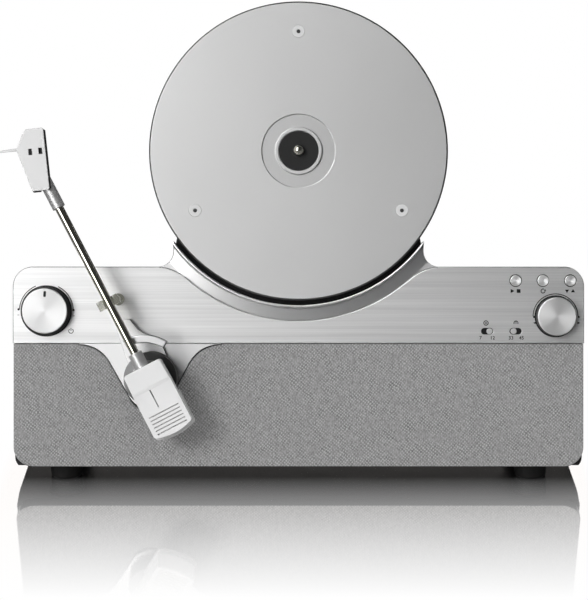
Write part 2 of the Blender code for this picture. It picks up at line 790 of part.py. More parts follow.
def body_solid(name, front, extra, finish=None):
    """The cabinet's bulk: its face outline, side outline and plan outline run through each other."""
    bulk = solid_plate(name, [rounded(face_outline(extra))], -BODY_WIDTH, -front, FACE, finish)
    side = [rounded(side_outline(front, extra))]
    flank = plate(name + "_side", side, -BODY_WIDTH, BODY_WIDTH, FACE, rotation=(0, math.pi / 2, 0))
    half = BODY_HALF - HOUSING_REVEAL - extra
    corner = BACK_SIDE_CORNER - extra
    plan = rectangle(-half, -BODY_DEPTH, half, BODY_DEPTH - extra)
    plan = [(x, y, corner if y > 0 else 0.0) for x, y, _ in plan]
    footprint = plate(name + "_plan", [rounded(plan)], -OVERRUN, BODY_WIDTH, ROOT)
    return keep_inside(bulk, as_mesh(flank), as_mesh(footprint))


def neck_tongue(extra, foot=NECK_FOOT):
    """The neck's head and shoulders, run straight down to the foot."""
    head = SPINDLE[1] + NECK_TOP_RISE
    shoulder = BODY_HEIGHT + NECK_SHOULDER_RISE
    corners = [
        (-NECK_SHOULDER, foot, 0.0),
        (NECK_SHOULDER, foot, 0.0),
        (NECK_SHOULDER, shoulder, NECK_SHOULDER_CORNER),
        (NECK_TOP_HALF_WIDTH, head, NECK_TOP_CORNER),
        (-NECK_TOP_HALF_WIDTH, head, NECK_TOP_CORNER),
        (-NECK_SHOULDER, shoulder, NECK_SHOULDER_CORNER),
    ]
    return inset(corners, extra)


def board_bosses():
    spots = []
    for across in (-1, 1):
        for back in (MAIN_BOARD_BACK - MAIN_BOARD_DEPTH + 2 * BOSS_RADIUS, MAIN_BOARD_BACK - 2 * BOSS_RADIUS):
            spots.append((across * (MAIN_BOARD_WIDTH / 2 - 2 * BOSS_RADIUS), back))
    return spots


def make_rear_housing():
    """The moulded shell: cabinet and neck in one, open at the front and at the back of the neck."""
    neck_back = -PANEL_DEPTH - NECK_DEPTH
    shell = body_solid("rear_housing", PANEL_DEPTH, 0.0, "black_plastic")
    join(shell, solid_plate("neck", [rounded(neck_outline())], neck_back, -PANEL_DEPTH, FACE))
    cavity = body_solid("cabinet_cavity", -OVERRUN, WALL)
    steps = ROUND_STEPS
    cut(cavity, disc("bay_floor", FLOOR_RADIUS, FLOOR_BACK, 2 * OVERRUN, FACE, centre=SPINDLE, steps=steps))
    inside = rounded(neck_tongue(WALL, HOUSING_TOP))
    hollow = solid_plate("neck_cavity", [inside], neck_back - OVERRUN, FLOOR_BACK, FACE)
    passage = rectangle(-PASSAGE_HALF_WIDTH, NECK_FOOT, PASSAGE_HALF_WIDTH, HOUSING_TOP + 2 * WALL, WALL)
    passage = solid_plate("passage", [rounded(passage)], neck_back + WALL, FLOOR_BACK - WALL, FACE)
    bearing = disc("bearing_hole", BEARING_RADIUS + GAP, neck_back, OVERRUN, FACE, centre=SPINDLE)
    shaft = disc("motor_hole", 2 * MOTOR_SHAFT_RADIUS, neck_back, OVERRUN, FACE, centre=MOTOR_SPOT)
    holes = []
    socket = SOCKET_RADIUS + GAP
    for i, across in enumerate(socket_places()):
        holes.append(disc(f"socket_hole_{i}", socket, -2 * WALL, OVERRUN, SOCKETS, centre=(across, 0)))
    for side in (-1, 1):
        for i in range(VENT_COUNT):
            middle = side * (BODY_HALF - VENT_FROM_SIDE) + (i - (VENT_COUNT - 1) / 2) * VENT_SPACING
            near = (middle - VENT_HALF_WIDTH, BODY_DEPTH - 2 * WALL, VENT_LEVEL - VENT_HALF_LENGTH)
            far = (middle + VENT_HALF_WIDTH, BODY_DEPTH + OVERRUN, VENT_LEVEL + VENT_HALF_LENGTH)
            holes.append(block(f"vent_{side}_{i}", near, far, ROOT))
    cut(shell, cavity, hollow, passage, bearing, shaft, *holes)
    floor = FLOOR_CLEARANCE + WALL
    for i, (x, y) in enumerate(board_bosses()):
        low, high = floor - WALL / 2, floor + BOSS_HEIGHT
        join(shell, disc(f"boss_{i}", BOSS_RADIUS, low, high, ROOT, centre=(x, y), steps=POST_STEPS))


def make_neck_cover():
    high = -PANEL_DEPTH - NECK_DEPTH - GAP
    outline = rounded(neck_tongue(0.0, HOUSING_TOP + GAP))
    plate("neck_cover", [outline], high - NECK_COVER_THICKNESS, high, FACE, "black_plastic", edge=EDGE_ROUND)


def make_front_baffle():
    """The board behind the front panels: it carries the speakers, the arm's bearing and the controls."""
    back = -PANEL_DEPTH - BAFFLE_THICKNESS
    bottom = -back * math.tan(LEAN) + WALL / math.cos(LEAN) + GAP
    half = BODY_HALF - HOUSING_REVEAL - WALL - GAP
    top = HOUSING_TOP - WALL - GAP
    corners = rectangle(-half, bottom, half, top)
    radii = (HOUSING_CORNER / 4, HOUSING_CORNER / 4, FACE_CORNER - WALL - GAP, FACE_CORNER - WALL - GAP)
    outline = rounded([(x, y, radius) for (x, y, _), radius in zip(corners, radii)])
    hole = SPEAKER_CONE_RADIUS + GAP
    holes = [circle((side * SPEAKER_ACROSS, SPEAKER_HEIGHT), hole, ROUND_STEPS) for side in (-1, 1)]
    holes.append(circle(PIVOT, ARM_BEARING_RADIUS + GAP))
    holes.append(circle(rail_stem_spot(), RAIL_STEM_RADIUS + RAIL_STEM_CLEARANCE))
    baffle = solid_plate("front_baffle", [outline, *holes], back, -PANEL_DEPTH, FACE, "black_plastic")
    bay = disc("baffle_bay", FLOOR_RADIUS + GAP, 2 * back, OVERRUN, FACE, centre=SPINDLE, steps=ROUND_STEPS)
    cut(baffle, bay)


def make_fascia():
    """A metal pan: brushed face, thin rim, with the platter's bay and the openings for the controls."""
    face, low = [fascia_outline()], -PANEL_DEPTH - OVERRUN
    fascia = solid_plate("fascia_panel", face, PANEL_BACK, 0.0, FACE, "brushed_metal", edge=EDGE_ROUND)
    pocket = solid_plate("fascia_pocket", [fascia_outline(FASCIA_RIM)], low, -FASCIA_SKIN, FACE)
    shaft = CONTROL_SHAFT_RADIUS + 2 * GAP
    button = BUTTON_RADIUS + BUTTON_CLEARANCE
    stem = RAIL_STEM_RADIUS + RAIL_STEM_CLEARANCE
    holes = [(VOLUME_SPOT, shaft), (JOG_SPOT, shaft), (rail_stem_spot(), stem)]
    holes += [(spot, button) for spot in BUTTON_SPOTS]
    cutters = []
    for i, (spot, radius) in enumerate(holes):
        cutters.append(disc(f"fascia_hole_{i}", radius, -OVERRUN, OVERRUN, FACE, centre=spot))
    for i, spot in enumerate(SWITCH_SPOTS):
        slot = capsule(spot, SWITCH_SLOT_HALF_LENGTH, SWITCH_SLOT_HALF_HEIGHT)
        cutters.append(solid_plate(f"switch_slot_{i}", [slot], -OVERRUN, OVERRUN, FACE))
    cut(fascia, pocket, *cutters)


def make_platter_surround():
    """The satin collar: a lip round the platter that sweeps down to the fascia and ends in two horns."""
    slope = COLLAR_RADIUS - BAY_RADIUS - LIP_WIDTH
    start = Vector((BAY_RADIUS + LIP_WIDTH, LIP_HEIGHT))
    bend = Vector((start.x + slope * COVE_BEND_SHARE, LIP_HEIGHT * COVE_FOOT_SHARE))
    end = Vector((COLLAR_RADIUS, 0.0))
    cove = []
    for i in range(COVE_STEPS + 1):
        share = i / COVE_STEPS
        point = start * (1 - share) ** 2 + bend * 2 * share * (1 - share) + end * share**2
        cove.append((point.x, point.y))
    profile = [(BAY_RADIUS, LIP_HEIGHT), *cove, (COLLAR_BACK_RADIUS, 0.0), (COLLAR_BACK_RADIUS, PANEL_BACK)]
    profile.append((BAY_RADIUS, PANEL_BACK))
    collar = turned("platter_surround", profile, FACE, "satin_metal", (*SPINDLE, 0), steps=COLLAR_STEPS)
    foot = BODY_HEIGHT + HORN_FILLET
    bend_centre = HORN_HALF_WIDTH + HORN_FILLET
    right = arc((bend_centre, foot), HORN_FILLET, math.pi + HORN_TAIL_ANGLE, math.pi)
    left = [(-x, y) for x, y in right[::-1]]
    tip = BODY_HEIGHT + HORN_RISE
    outline = bay_edge(0.0)[::-1] + right + [(HORN_HALF_WIDTH, tip), (-HORN_HALF_WIDTH, tip)] + left
    keep_inside(collar, solid_plate("collar_outline", [outline], -2 * PANEL_DEPTH, 2 * LIP_HEIGHT, FACE))


def make_plinth():
    outline = rounded(plinth_corners())
    plinth = solid_plate("tonearm_plinth", [outline], PANEL_BACK, 0.0, FACE, "satin_metal", edge=EDGE_ROUND)
    hole = ARM_BEARING_RADIUS + GAP
    cut(plinth, disc("plinth_bearing", hole, -OVERRUN, OVERRUN, FACE, centre=PIVOT, steps=ROUND_STEPS))


def make_grille():
    """The cloth front: a frame with a thin face, open behind where the speakers sit."""
    half = BODY_HALF - GRILLE_INSET
    top = SEAM_HEIGHT - GAP / 2
    corners = rectangle(-half, GRILLE_INSET, half, top)
    corners = [(x, y, FACE_CORNER if y < top else 0.0) for x, y, _ in corners]
    grille = solid_plate(
        "speaker_grille", [rounded(corners)], PANEL_BACK, -GRILLE_SINK, FACE, "cloth", edge=GRILLE_EDGE
    )
    notch = solid_plate("grille_notch", [rounded(inset(plinth_corners(), -GAP))], -OVERRUN, OVERRUN, FACE)
    skin = -GRILLE_SINK - GRILLE_SKIN
    pocket = solid_plate("grille_pocket", [rounded(inset(corners, GRILLE_RIM))], -2 * OVERRUN, skin, FACE)
    around = rounded(inset(plinth_corners(), -GRILLE_RIM))
    web = solid_plate("grille_web", [around], -3 * OVERRUN, OVERRUN, FACE)
    cut(pocket, web)
    cut(grille, notch, pocket)


def make_platter():
    bore = SPINDLE_RADIUS + GAP / 2
    under = PLATTER_FACE - PLATTER_SKIN
    back = PLATTER_FACE - PLATTER_DEPTH
    recess = PLATTER_FACE - LABEL_RECESS_DEPTH
    profile = [
        (bore, recess),
        (LABEL_RECESS_RADIUS, recess),
        (LABEL_RECESS_RADIUS, PLATTER_FACE),
        (PLATTER_RADIUS - PLATTER_BEVEL, PLATTER_FACE),
        (PLATTER_RADIUS, PLATTER_FACE - PLATTER_BEVEL),
        (PLATTER_RADIUS, back),
        (PLATTER_RADIUS - PLATTER_RIM, back),
        (PLATTER_RADIUS - PLATTER_RIM, under),
        (bore, under),
    ]
    ring = PLATTER_FACE + CENTRE_RISE
    seat = CENTRE_DISC_RADIUS + GAP
    profile[1:1] = [(seat, recess), (seat, ring), (CENTRE_RING_RADIUS, ring), (CENTRE_RING_RADIUS, recess)]
    platter = turned("platter", profile, PLATTER_AXIS, "satin_metal", steps=PLATTER_STEPS)
    floor = PLATTER_FACE - PAD_SINK
    for i in range(3):
        angle = math.pi / 2 + i * math.tau / 3
        spot = (PAD_CIRCLE * math.cos(angle), PAD_CIRCLE * math.sin(angle))
        seat = disc(f"pad_seat_{i}", PAD_RADIUS + GAP, floor, 2 * PLATTER_FACE, PLATTER_AXIS, centre=spot)
        cut(platter, seat)
        name = f"record_pad_{i + 1}"
        tube(name, PAD_RADIUS, PAD_HOLE, floor + GAP, ring, PLATTER_AXIS, "pale_rubber", spot)
    low, high = recess + GAP, PLATTER_FACE + CENTRE_DISC_RISE
    tube("centre_disc", CENTRE_DISC_RADIUS, bore, low, high, PLATTER_AXIS, "rubber", steps=ROUND_STEPS)

    top = under - GAP
    inner = BELT_RADIUS - SUB_PLATTER_RIM
    web = top - SUB_PLATTER_WEB
    back = SUB_PLATTER_BACK
    profile = [(bore, top), (BELT_RADIUS, top), (BELT_RADIUS, back), (inner, back)]
    profile += [(inner, web), (SUB_PLATTER_HUB, web), (SUB_PLATTER_HUB, back), (bore, back)]
    turned("sub_platter", profile, PLATTER_AXIS, "black_plastic", steps=ROUND_STEPS)

    nose = PLATTER_FACE + SPINDLE_NOSE
    ball = arc((0, nose - SPINDLE_RADIUS), SPINDLE_RADIUS, math.pi / 2, 0)
    profile = [(0, nose), *ball[1:], (SPINDLE_RADIUS, -SPINDLE_TAIL), (0, -SPINDLE_TAIL)]
    turned("spindle", profile, PLATTER_AXIS, "polished_metal")


def make_bearing():
    top = SUB_PLATTER_BACK - GAP
    bore = SPINDLE_RADIUS + RUNNING_GAP
    seat = -PANEL_DEPTH + GAP
    tail = BEARING_FLANGE - SPINDLE_TAIL
    profile = [(bore, top), (BEARING_FLANGE_RADIUS, top), (BEARING_FLANGE_RADIUS, seat)]
    profile += [(BEARING_RADIUS, seat), (BEARING_RADIUS, tail), (bore, tail)]
    turned("bearing_sleeve", profile, FACE, "brass", (*SPINDLE, 0))


def make_drive():
    """Motor, pulley and the belt that runs round the pulley and the sub-platter."""
    top = FLOOR_BACK - GAP
    bore = MOTOR_SHAFT_RADIUS + RUNNING_GAP
    end = top - MOTOR_LENGTH
    shaft_end = top - MOTOR_LENGTH * MOTOR_SHAFT_SHARE
    socket = shaft_end - GAP
    motor_can("drive_motor", MOTOR_RADIUS, bore, top, end, socket, FACE, MOTOR_SPOT)
    high = BELT_LEVEL + PULLEY_HEIGHT / 2
    low = BELT_LEVEL - PULLEY_HEIGHT / 2
    flange = PULLEY_RADIUS + PULLEY_FLANGE
    profile = [
        (0, high),
        (flange, high),
        (flange, high - PULLEY_FLANGE),
        (PULLEY_RADIUS, high - PULLEY_FLANGE),
        (PULLEY_RADIUS, low + PULLEY_FLANGE),
        (flange, low + PULLEY_FLANGE),
        (flange, low),
        (MOTOR_SHAFT_RADIUS, low),
        (MOTOR_SHAFT_RADIUS, shaft_end),
        (0, shaft_end),
    ]
    turned("motor_pulley", profile, MOTOR_AXIS, "brass")
    inner = belt_loop(GAP)
    outer = belt_loop(GAP + BELT_THICKNESS)
    low, high = BELT_LEVEL - BELT_WIDTH / 2, BELT_LEVEL + BELT_WIDTH / 2
    plate("drive_belt", [outer, inner], low, high, FACE, "rubber")


def motor_can(name, radius, bore, top, end, socket, parent, centre):
    """A round motor with a blind bore for its shaft."""
    profile = [(0, socket), (bore, socket), (bore, top), (radius, top), (radius, end), (0, end)]
    return turned(name, profile, parent, "steel", (*centre, 0))


def belt_loop(extra):
    """The taut loop round the sub-platter and the pulley, this far out from both."""
    large, small = BELT_RADIUS + extra, PULLEY_RADIUS + extra
    line = Vector(MOTOR_SPOT) - Vector(SPINDLE)
    heading = math.atan2(line.y, line.x)
    spread = math.acos((large - small) / line.length)
    around = arc(SPINDLE, large, heading + spread, heading + math.tau - spread, FINE_STEP)
    return around + arc(MOTOR_SPOT, small, heading - spread, heading + spread)


def make_speakers():
    """Two drivers behind the baffle, which face the cloth through its holes."""
    front = -PANEL_DEPTH - BAFFLE_THICKNESS - GAP
    back = front - SPEAKER_FLANGE
    basket = back - SPEAKER_BASKET_DEPTH
    profile = [
        (0, front - SPEAKER_CONE_DEPTH + SPEAKER_CAP_RISE),
        (SPEAKER_CAP_RADIUS, front - SPEAKER_CONE_DEPTH),
        (SPEAKER_CONE_RADIUS, front - EDGE_ROUND),
        (SPEAKER_FLANGE_RADIUS, front),
        (SPEAKER_FLANGE_RADIUS, back),
        (SPEAKER_BASKET_RADIUS, back),
        (SPEAKER_MAGNET_RADIUS, basket),
        (SPEAKER_MAGNET_RADIUS, basket - SPEAKER_MAGNET_DEPTH),
        (0, basket - SPEAKER_MAGNET_DEPTH),
    ]
    for side, name in ((-1, "speaker_left"), (1, "speaker_right")):
        spot = (side * SPEAKER_ACROSS, SPEAKER_HEIGHT, 0)
        turned(name, profile, FACE, "black_plastic", spot, steps=ROUND_STEPS)


def knob(name, parent, lift, height, skirt, face, shaft_hole=0.0):
    """A turned knob, hollow behind, with a boss. With no shaft hole it carries its own shaft."""
    top = lift + height
    roof = top - KNOB_WALL
    profile = [(0, top), (face - KNOB_ROUND, top), (face, top - KNOB_ROUND), (skirt, lift)]
    profile += [(skirt - KNOB_WALL, lift), (face - KNOB_WALL, roof)]
    profile += [(KNOB_BOSS_RADIUS, roof), (KNOB_BOSS_RADIUS, lift)]
    if shaft_hole:
        socket = CONTROL_SHAFT_REACH + VOLUME_PRESS + GAP
        profile += [(shaft_hole, lift), (shaft_hole, socket), (0, socket)]
    else:
        foot = CONTROL_BOARD_TOP + 2 * GAP + ENCODER_FLOOR
        profile += [(CONTROL_SHAFT_RADIUS, lift), (CONTROL_SHAFT_RADIUS, foot), (0, foot)]
    return turned(name, profile, parent, "satin_metal", steps=ROUND_STEPS)


def encoder(name, low, floor, spot):
    """A square encoder with a round well for its shaft."""
    half = ENCODER_SIZE / 2
    high = CONTROL_BOARD_TOP + GAP + ENCODER_DEPTH
    near, far = (spot[0] - half, spot[1] - half, low), (spot[0] + half, spot[1] + half, high)
    box = block(name, near, far, FACE, "steel")
    bore = CONTROL_SHAFT_RADIUS + RUNNING_GAP
    cut(box, disc(name + "_well", bore, floor, OVERRUN, FACE, centre=spot))


def make_controls():
    floor = CONTROL_BOARD_TOP + GAP + ENCODER_FLOOR
    encoder("volume_encoder", PANEL_BACK, floor, VOLUME_SPOT)
    encoder("jog_encoder", CONTROL_BOARD_TOP + GAP, floor, JOG_SPOT)
    volume_axis = new_empty("volume_axis", FACE, (*VOLUME_SPOT, 0))
    disc("volume_shaft", CONTROL_SHAFT_RADIUS, floor + GAP, CONTROL_SHAFT_REACH, volume_axis, "steel")
    hole = CONTROL_SHAFT_RADIUS + RUNNING_GAP
    skirt, face = VOLUME_SKIRT_RADIUS, VOLUME_FACE_RADIUS
    knob("volume_knob", volume_axis, VOLUME_KNOB_LIFT, VOLUME_KNOB_HEIGHT, skirt, face, hole)
    jog_axis = new_empty("jog_axis", FACE, (*JOG_SPOT, 0))
    knob("jog_knob", jog_axis, JOG_KNOB_LIFT, JOG_KNOB_HEIGHT, JOG_SKIRT_RADIUS, JOG_FACE_RADIUS)

    left = BODY_HALF - CONTROL_BOARD_WIDTH
    board = [
        (left, SEAM_HEIGHT, 0.0),
        (BODY_HALF, SEAM_HEIGHT, 0.0),
        (BODY_HALF, BODY_HEIGHT, FACE_CORNER),
        (BUTTON_SPOTS[0][0] - CONTROL_BOARD_SHOULDER, BODY_HEIGHT, 0.0),
        (left, SWITCH_SPOTS[0][1] + CONTROL_BOARD_SHOULDER, 0.0),
    ]
    outline = rounded(inset(board, CONTROL_BOARD_MARGIN))
    plate("control_board", [outline], PANEL_BACK, CONTROL_BOARD_TOP, FACE, "board")

    seat = -FASCIA_SKIN - GAP
    for name, spot in zip(("start_button", "repeat_button", "arm_button"), BUTTON_SPOTS):
        axis = new_empty(name + "_axis", FACE, (*spot, 0))
        flange = BUTTON_RADIUS + BUTTON_FLANGE
        low = seat - BUTTON_FLANGE_DEPTH
        foot = CONTROL_BOARD_TOP + GAP + BUTTON_TRAVEL
        profile = [
            (0, BUTTON_RISE),
            (BUTTON_RADIUS - BUTTON_ROUND, BUTTON_RISE),
            (BUTTON_RADIUS, BUTTON_RISE - BUTTON_ROUND),
            (BUTTON_RADIUS, seat),
            (flange, seat),
            (flange, low),
            (BUTTON_STEM, low),
            (BUTTON_STEM, foot),
            (0, foot),
        ]
        turned(name, profile, axis, "polished_metal")

    for name, spot, side in zip(("size_switch", "speed_switch"), SWITCH_SPOTS, (1, -1)):
        axis = new_empty(name + "_axis", FACE, (spot[0] + side * SWITCH_OFFSET, spot[1], 0))
        low = seat - SWITCH_SLIDE_THICKNESS
        length, height = SWITCH_SLIDE_HALF_LENGTH, SWITCH_SLIDE_HALF_HEIGHT
        slide = block(name, (-length, -height, low), (length, height, seat), axis, "grey_plastic")
        thumb = disc(name + "_thumb", SWITCH_THUMB_RADIUS, (low + seat) / 2, SWITCH_THUMB_RISE, axis)
        foot = disc(name + "_foot", BUTTON_STEM, CONTROL_BOARD_TOP + GAP, (low + seat) / 2, axis)
        join(slide, thumb, foot)


def rail_stem_spot():
    return rail_point(RAIL_STEM_ANGLE)


def rail_point(angle):
    return (RAIL_CENTRE[0] + RAIL_RADIUS * math.cos(angle), RAIL_CENTRE[1] + RAIL_RADIUS * math.sin(angle))


def make_cue_lift():
    """The curved rail on its stem, the wedge it stands over and the lift motor below."""
    top = ARM_LEVEL - TUBE_RADIUS - GAP
    half = RAIL_WIDTH / 2
    outer = arc(RAIL_CENTRE, RAIL_RADIUS + half, RAIL_END, RAIL_START, FINE_STEP)
    inner = arc(RAIL_CENTRE, RAIL_RADIUS - half, RAIL_START, RAIL_END, FINE_STEP)
    low = top - RAIL_THICKNESS
    rail = solid_plate("lift_rail", [outer + inner], low, top, FACE, "polished_metal", edge=RAIL_EDGE)
    spot = rail_stem_spot()
    join(rail, disc("rail_stem", RAIL_STEM_RADIUS, -RAIL_STEM_TAIL, low + RAIL_EDGE, FACE, centre=spot))

    corners = [(PIVOT[0] + x, PIVOT[1] + y, radius) for x, y, radius in BRACKET_CORNERS]
    high = GAP + BRACKET_THICKNESS
    bracket = solid_plate("lift_bracket", [rounded(corners)], GAP, high, FACE, "satin_metal", edge=EDGE_ROUND)
    stem = RAIL_STEM_RADIUS + RAIL_STEM_CLEARANCE
    base = BASE_RADIUS + GAP
    cut(bracket, disc("bracket_stem", stem, -OVERRUN, 2 * OVERRUN, FACE, centre=spot))
    cut(bracket, disc("bracket_base", base, -OVERRUN, 2 * OVERRUN, FACE, centre=PIVOT, steps=ROUND_STEPS))

    low = CHASSIS_LEVEL + GAP
    high = -RAIL_STEM_TAIL - LIFT_MOTOR_CLEARANCE
    disc("lift_actuator", LIFT_MOTOR_RADIUS, low, high, FACE, "steel", centre=spot)


def make_arm_rest():
    """A post with a cradle for the tube: a tall jaw outside, a low lip where the arm leaves it."""
    slot_floor = ARM_LEVEL - TUBE_RADIUS - REST_DROP
    foot_top = GAP + REST_FOOT_HEIGHT
    base = slot_floor - REST_CRADLE
    post_top = base + REST_CRADLE / 2
    profile = [(0, post_top), (REST_POST_RADIUS, post_top), (REST_POST_RADIUS, foot_top)]
    profile += [(REST_FOOT_RADIUS, foot_top), (REST_FOOT_RADIUS, GAP), (0, GAP)]
    post = turned("arm_rest", profile, ARM_FRAME, "clear_grey", (REST_POST_ACROSS, REST_ALONG, 0))
    inside = TUBE_RADIUS + GAP
    left, right = -inside - REST_JAW, inside + REST_LIP
    high = ARM_LEVEL + REST_JAW_RISE
    lip = ARM_LEVEL - TUBE_RADIUS - GAP
    outline = [
        (left, base),
        (right, base),
        (right, lip),
        (inside, lip),
        (inside, slot_floor),
        (-inside, slot_floor),
        (-inside, high),
        (left, high),
    ]
    upright = (math.pi / 2, 0, 0)
    near, far = -REST_ALONG - REST_DEPTH / 2, -REST_ALONG + REST_DEPTH / 2
    join(post, solid_plate("rest_cradle", [outline], near, far, ARM_FRAME, rotation=upright))


def make_arm_mount():
    """The fixed drum, its bearing, and the yoke that turns in it with the gear below."""
    bore = ARM_BEARING_RADIUS + GAP
    profile = [
        (bore, BASE_HEIGHT),
        (BASE_RADIUS - BASE_ROUND, BASE_HEIGHT),
        (BASE_RADIUS, BASE_HEIGHT - BASE_ROUND),
        (BASE_RADIUS, GAP),
        (bore, GAP),
    ]
    turned("tonearm_base", profile, FACE, "gunmetal", (*PIVOT, 0), steps=ROUND_STEPS)
    shaft_bore = ARM_SHAFT_RADIUS + RUNNING_GAP
    tube("arm_bearing", ARM_BEARING_RADIUS, shaft_bore, -ARM_BEARING_TAIL, BASE_HEIGHT, FACE, "brass", PIVOT)

    low = BASE_HEIGHT + GAP
    high = low + YOKE_THICKNESS
    tail = CHASSIS_LEVEL - CHASSIS_THICKNESS
    profile = [(0, high), (YOKE_RADIUS, high), (YOKE_RADIUS, low)]
    profile += [(ARM_SHAFT_RADIUS, low), (ARM_SHAFT_RADIUS, tail), (0, tail)]
    yoke = turned("arm_yoke", profile, ARM_FRAME, "steel")
    for side in (-1, 1):
        edges = sorted((side * EAR_GAP / 2, side * (EAR_GAP / 2 + EAR_THICKNESS)))
        near = (edges[0], -EAR_HALF_LENGTH, high - YOKE_THICKNESS / 2)
        far = (edges[1], EAR_HALF_LENGTH, ARM_LEVEL + EAR_RISE)
        join(yoke, block(f"ear_{side}", near, far, ARM_FRAME))
    reach = EAR_GAP / 2 + 2 * EAR_THICKNESS
    hole = TILT_PIN_RADIUS + RUNNING_GAP
    cut(yoke, rod("ear_bore", hole, (-reach, 0, ARM_LEVEL), (reach, 0, ARM_LEVEL), ARM_FRAME))


def involute(angle):
    return math.tan(angle) - angle


def tooth(teeth, centre_angle):
    """One tooth's points about its wheel's axis, root to tip and back, anticlockwise."""
    pitch = GEAR_MODULE * teeth / 2
    base = pitch * math.cos(PRESSURE_ANGLE)
    tip = pitch + GEAR_MODULE * ADDENDUM_SHARE
    root = pitch - GEAR_MODULE * DEDENDUM_SHARE
    half = math.pi / (2 * teeth) - GEAR_BACKLASH / (2 * pitch) + involute(PRESSURE_ANGLE)
    start = max(base, root)
    flank = []
    for i in range(FLANK_POINTS):
        radius = start + (tip - start) * i / (FLANK_POINTS - 1)
        flank.append((radius, half - involute(math.acos(min(1.0, base / radius)))))
    if root < base:
        flank.insert(0, (root, flank[0][1]))
    points = [(radius, centre_angle - spread) for radius, spread in flank]
    points += [(radius, centre_angle + spread) for radius, spread in flank[::-1]]
    return [(radius * math.cos(angle), radius * math.sin(angle)) for radius, angle in points]


def make_arm_drive():
    """The gear sector on the yoke's shaft, the pinion it meshes with, and their motor on its frame."""
    high = -ARM_BEARING_TAIL - GAP
    low = high - GEAR_THICKNESS
    step = math.tau / GEAR_TEETH
    outline = [(0.0, 0.0)]
    for i in range(-SECTOR_TEETH_BELOW, SECTOR_TEETH_ABOVE + 1):
        outline += tooth(GEAR_TEETH, i * step)
    gear_axis = new_empty("gear_axis", FACE, (*PIVOT, 0))
    gear = solid_plate("arm_gear", [outline], low, high, gear_axis, "brass")
    join(gear, disc("gear_hub", GEAR_HUB_RADIUS, low, high, gear_axis))
    cut(gear, disc("gear_bore", ARM_SHAFT_RADIUS + RUNNING_GAP, low - OVERRUN, OVERRUN, gear_axis))

    reach = GEAR_MODULE * (GEAR_TEETH + PINION_TEETH) / 2
    spot = (PIVOT[0] + reach, PIVOT[1])
    pinion_axis = new_empty("pinion_axis", FACE, (*spot, 0))
    outline = []
    for i in range(PINION_TEETH):
        outline += tooth(PINION_TEETH, (i + 0.5) * math.tau / PINION_TEETH)
    pinion = solid_plate("arm_pinion", [outline], low, high, pinion_axis, "brass")
    top = CHASSIS_LEVEL - CHASSIS_THICKNESS - GAP
    end = top - ARM_MOTOR_LENGTH
    shaft_end = top - ARM_MOTOR_LENGTH * MOTOR_SHAFT_SHARE
    join(pinion, disc("pinion_shaft", MOTOR_SHAFT_RADIUS, shaft_end, (low + high) / 2, pinion_axis))
    bore = MOTOR_SHAFT_RADIUS + RUNNING_GAP
    motor_can("arm_motor", ARM_MOTOR_RADIUS, bore, top, end, shaft_end - GAP, FACE, spot)

    left, right = PIVOT[0] + CHASSIS_LEFT, PIVOT[0] + CHASSIS_RIGHT
    bottom, upper = PIVOT[1] + CHASSIS_BOTTOM, PIVOT[1] + CHASSIS_TOP
    outline = rounded(rectangle(left, bottom, right, upper, CHASSIS_CORNER))
    holes = [circle(PIVOT, ARM_SHAFT_RADIUS + RUNNING_GAP), circle(spot, 2 * MOTOR_SHAFT_RADIUS)]
    frame = solid_plate(
        "arm_chassis", [outline, *holes], CHASSIS_LEVEL - CHASSIS_THICKNESS, CHASSIS_LEVEL, FACE, "steel"
    )
    top = -PANEL_DEPTH - BAFFLE_THICKNESS - GAP
    posts = [(left, bottom), (right, bottom), (left, upper), (right, upper)]
    for i, (x, y) in enumerate(posts):
        x += math.copysign(CHASSIS_POST_RADIUS + GAP, PIVOT[0] - x)
        y += math.copysign(CHASSIS_POST_RADIUS + GAP, PIVOT[1] - y)
        middle = CHASSIS_LEVEL - CHASSIS_THICKNESS / 2
        name = f"chassis_post_{i}"
        join(frame, disc(name, CHASSIS_POST_RADIUS, middle, top, FACE, centre=(x, y), steps=POST_STEPS))


def block_outline(extra=0.0):
    """The white block from the front: waisted sides and a shallow arc at its tail, inset by extra."""
    sagitta = BLOCK_ARC_END - BLOCK_SIDE_END
    radius = (BLOCK_HALF_WIDTH**2 + sagitta**2) / (2 * sagitta)
    spread = math.asin(BLOCK_HALF_WIDTH / radius)
    tail = arc((0, radius - BLOCK_ARC_END), radius, -math.pi / 2 - spread, -math.pi / 2 + spread, TAIL_STEP)
    corners = [(x, y, 0.0) for x, y in tail]
    corners += [
        (BLOCK_HALF_WIDTH, -BLOCK_WAIST, 0.0),
        (BLOCK_FRONT_HALF_WIDTH, BLOCK_FRONT, BLOCK_CORNER),
        (-BLOCK_FRONT_HALF_WIDTH, BLOCK_FRONT, BLOCK_CORNER),
        (-BLOCK_HALF_WIDTH, -BLOCK_WAIST, 0.0),
    ]
    return inset(corners, extra)


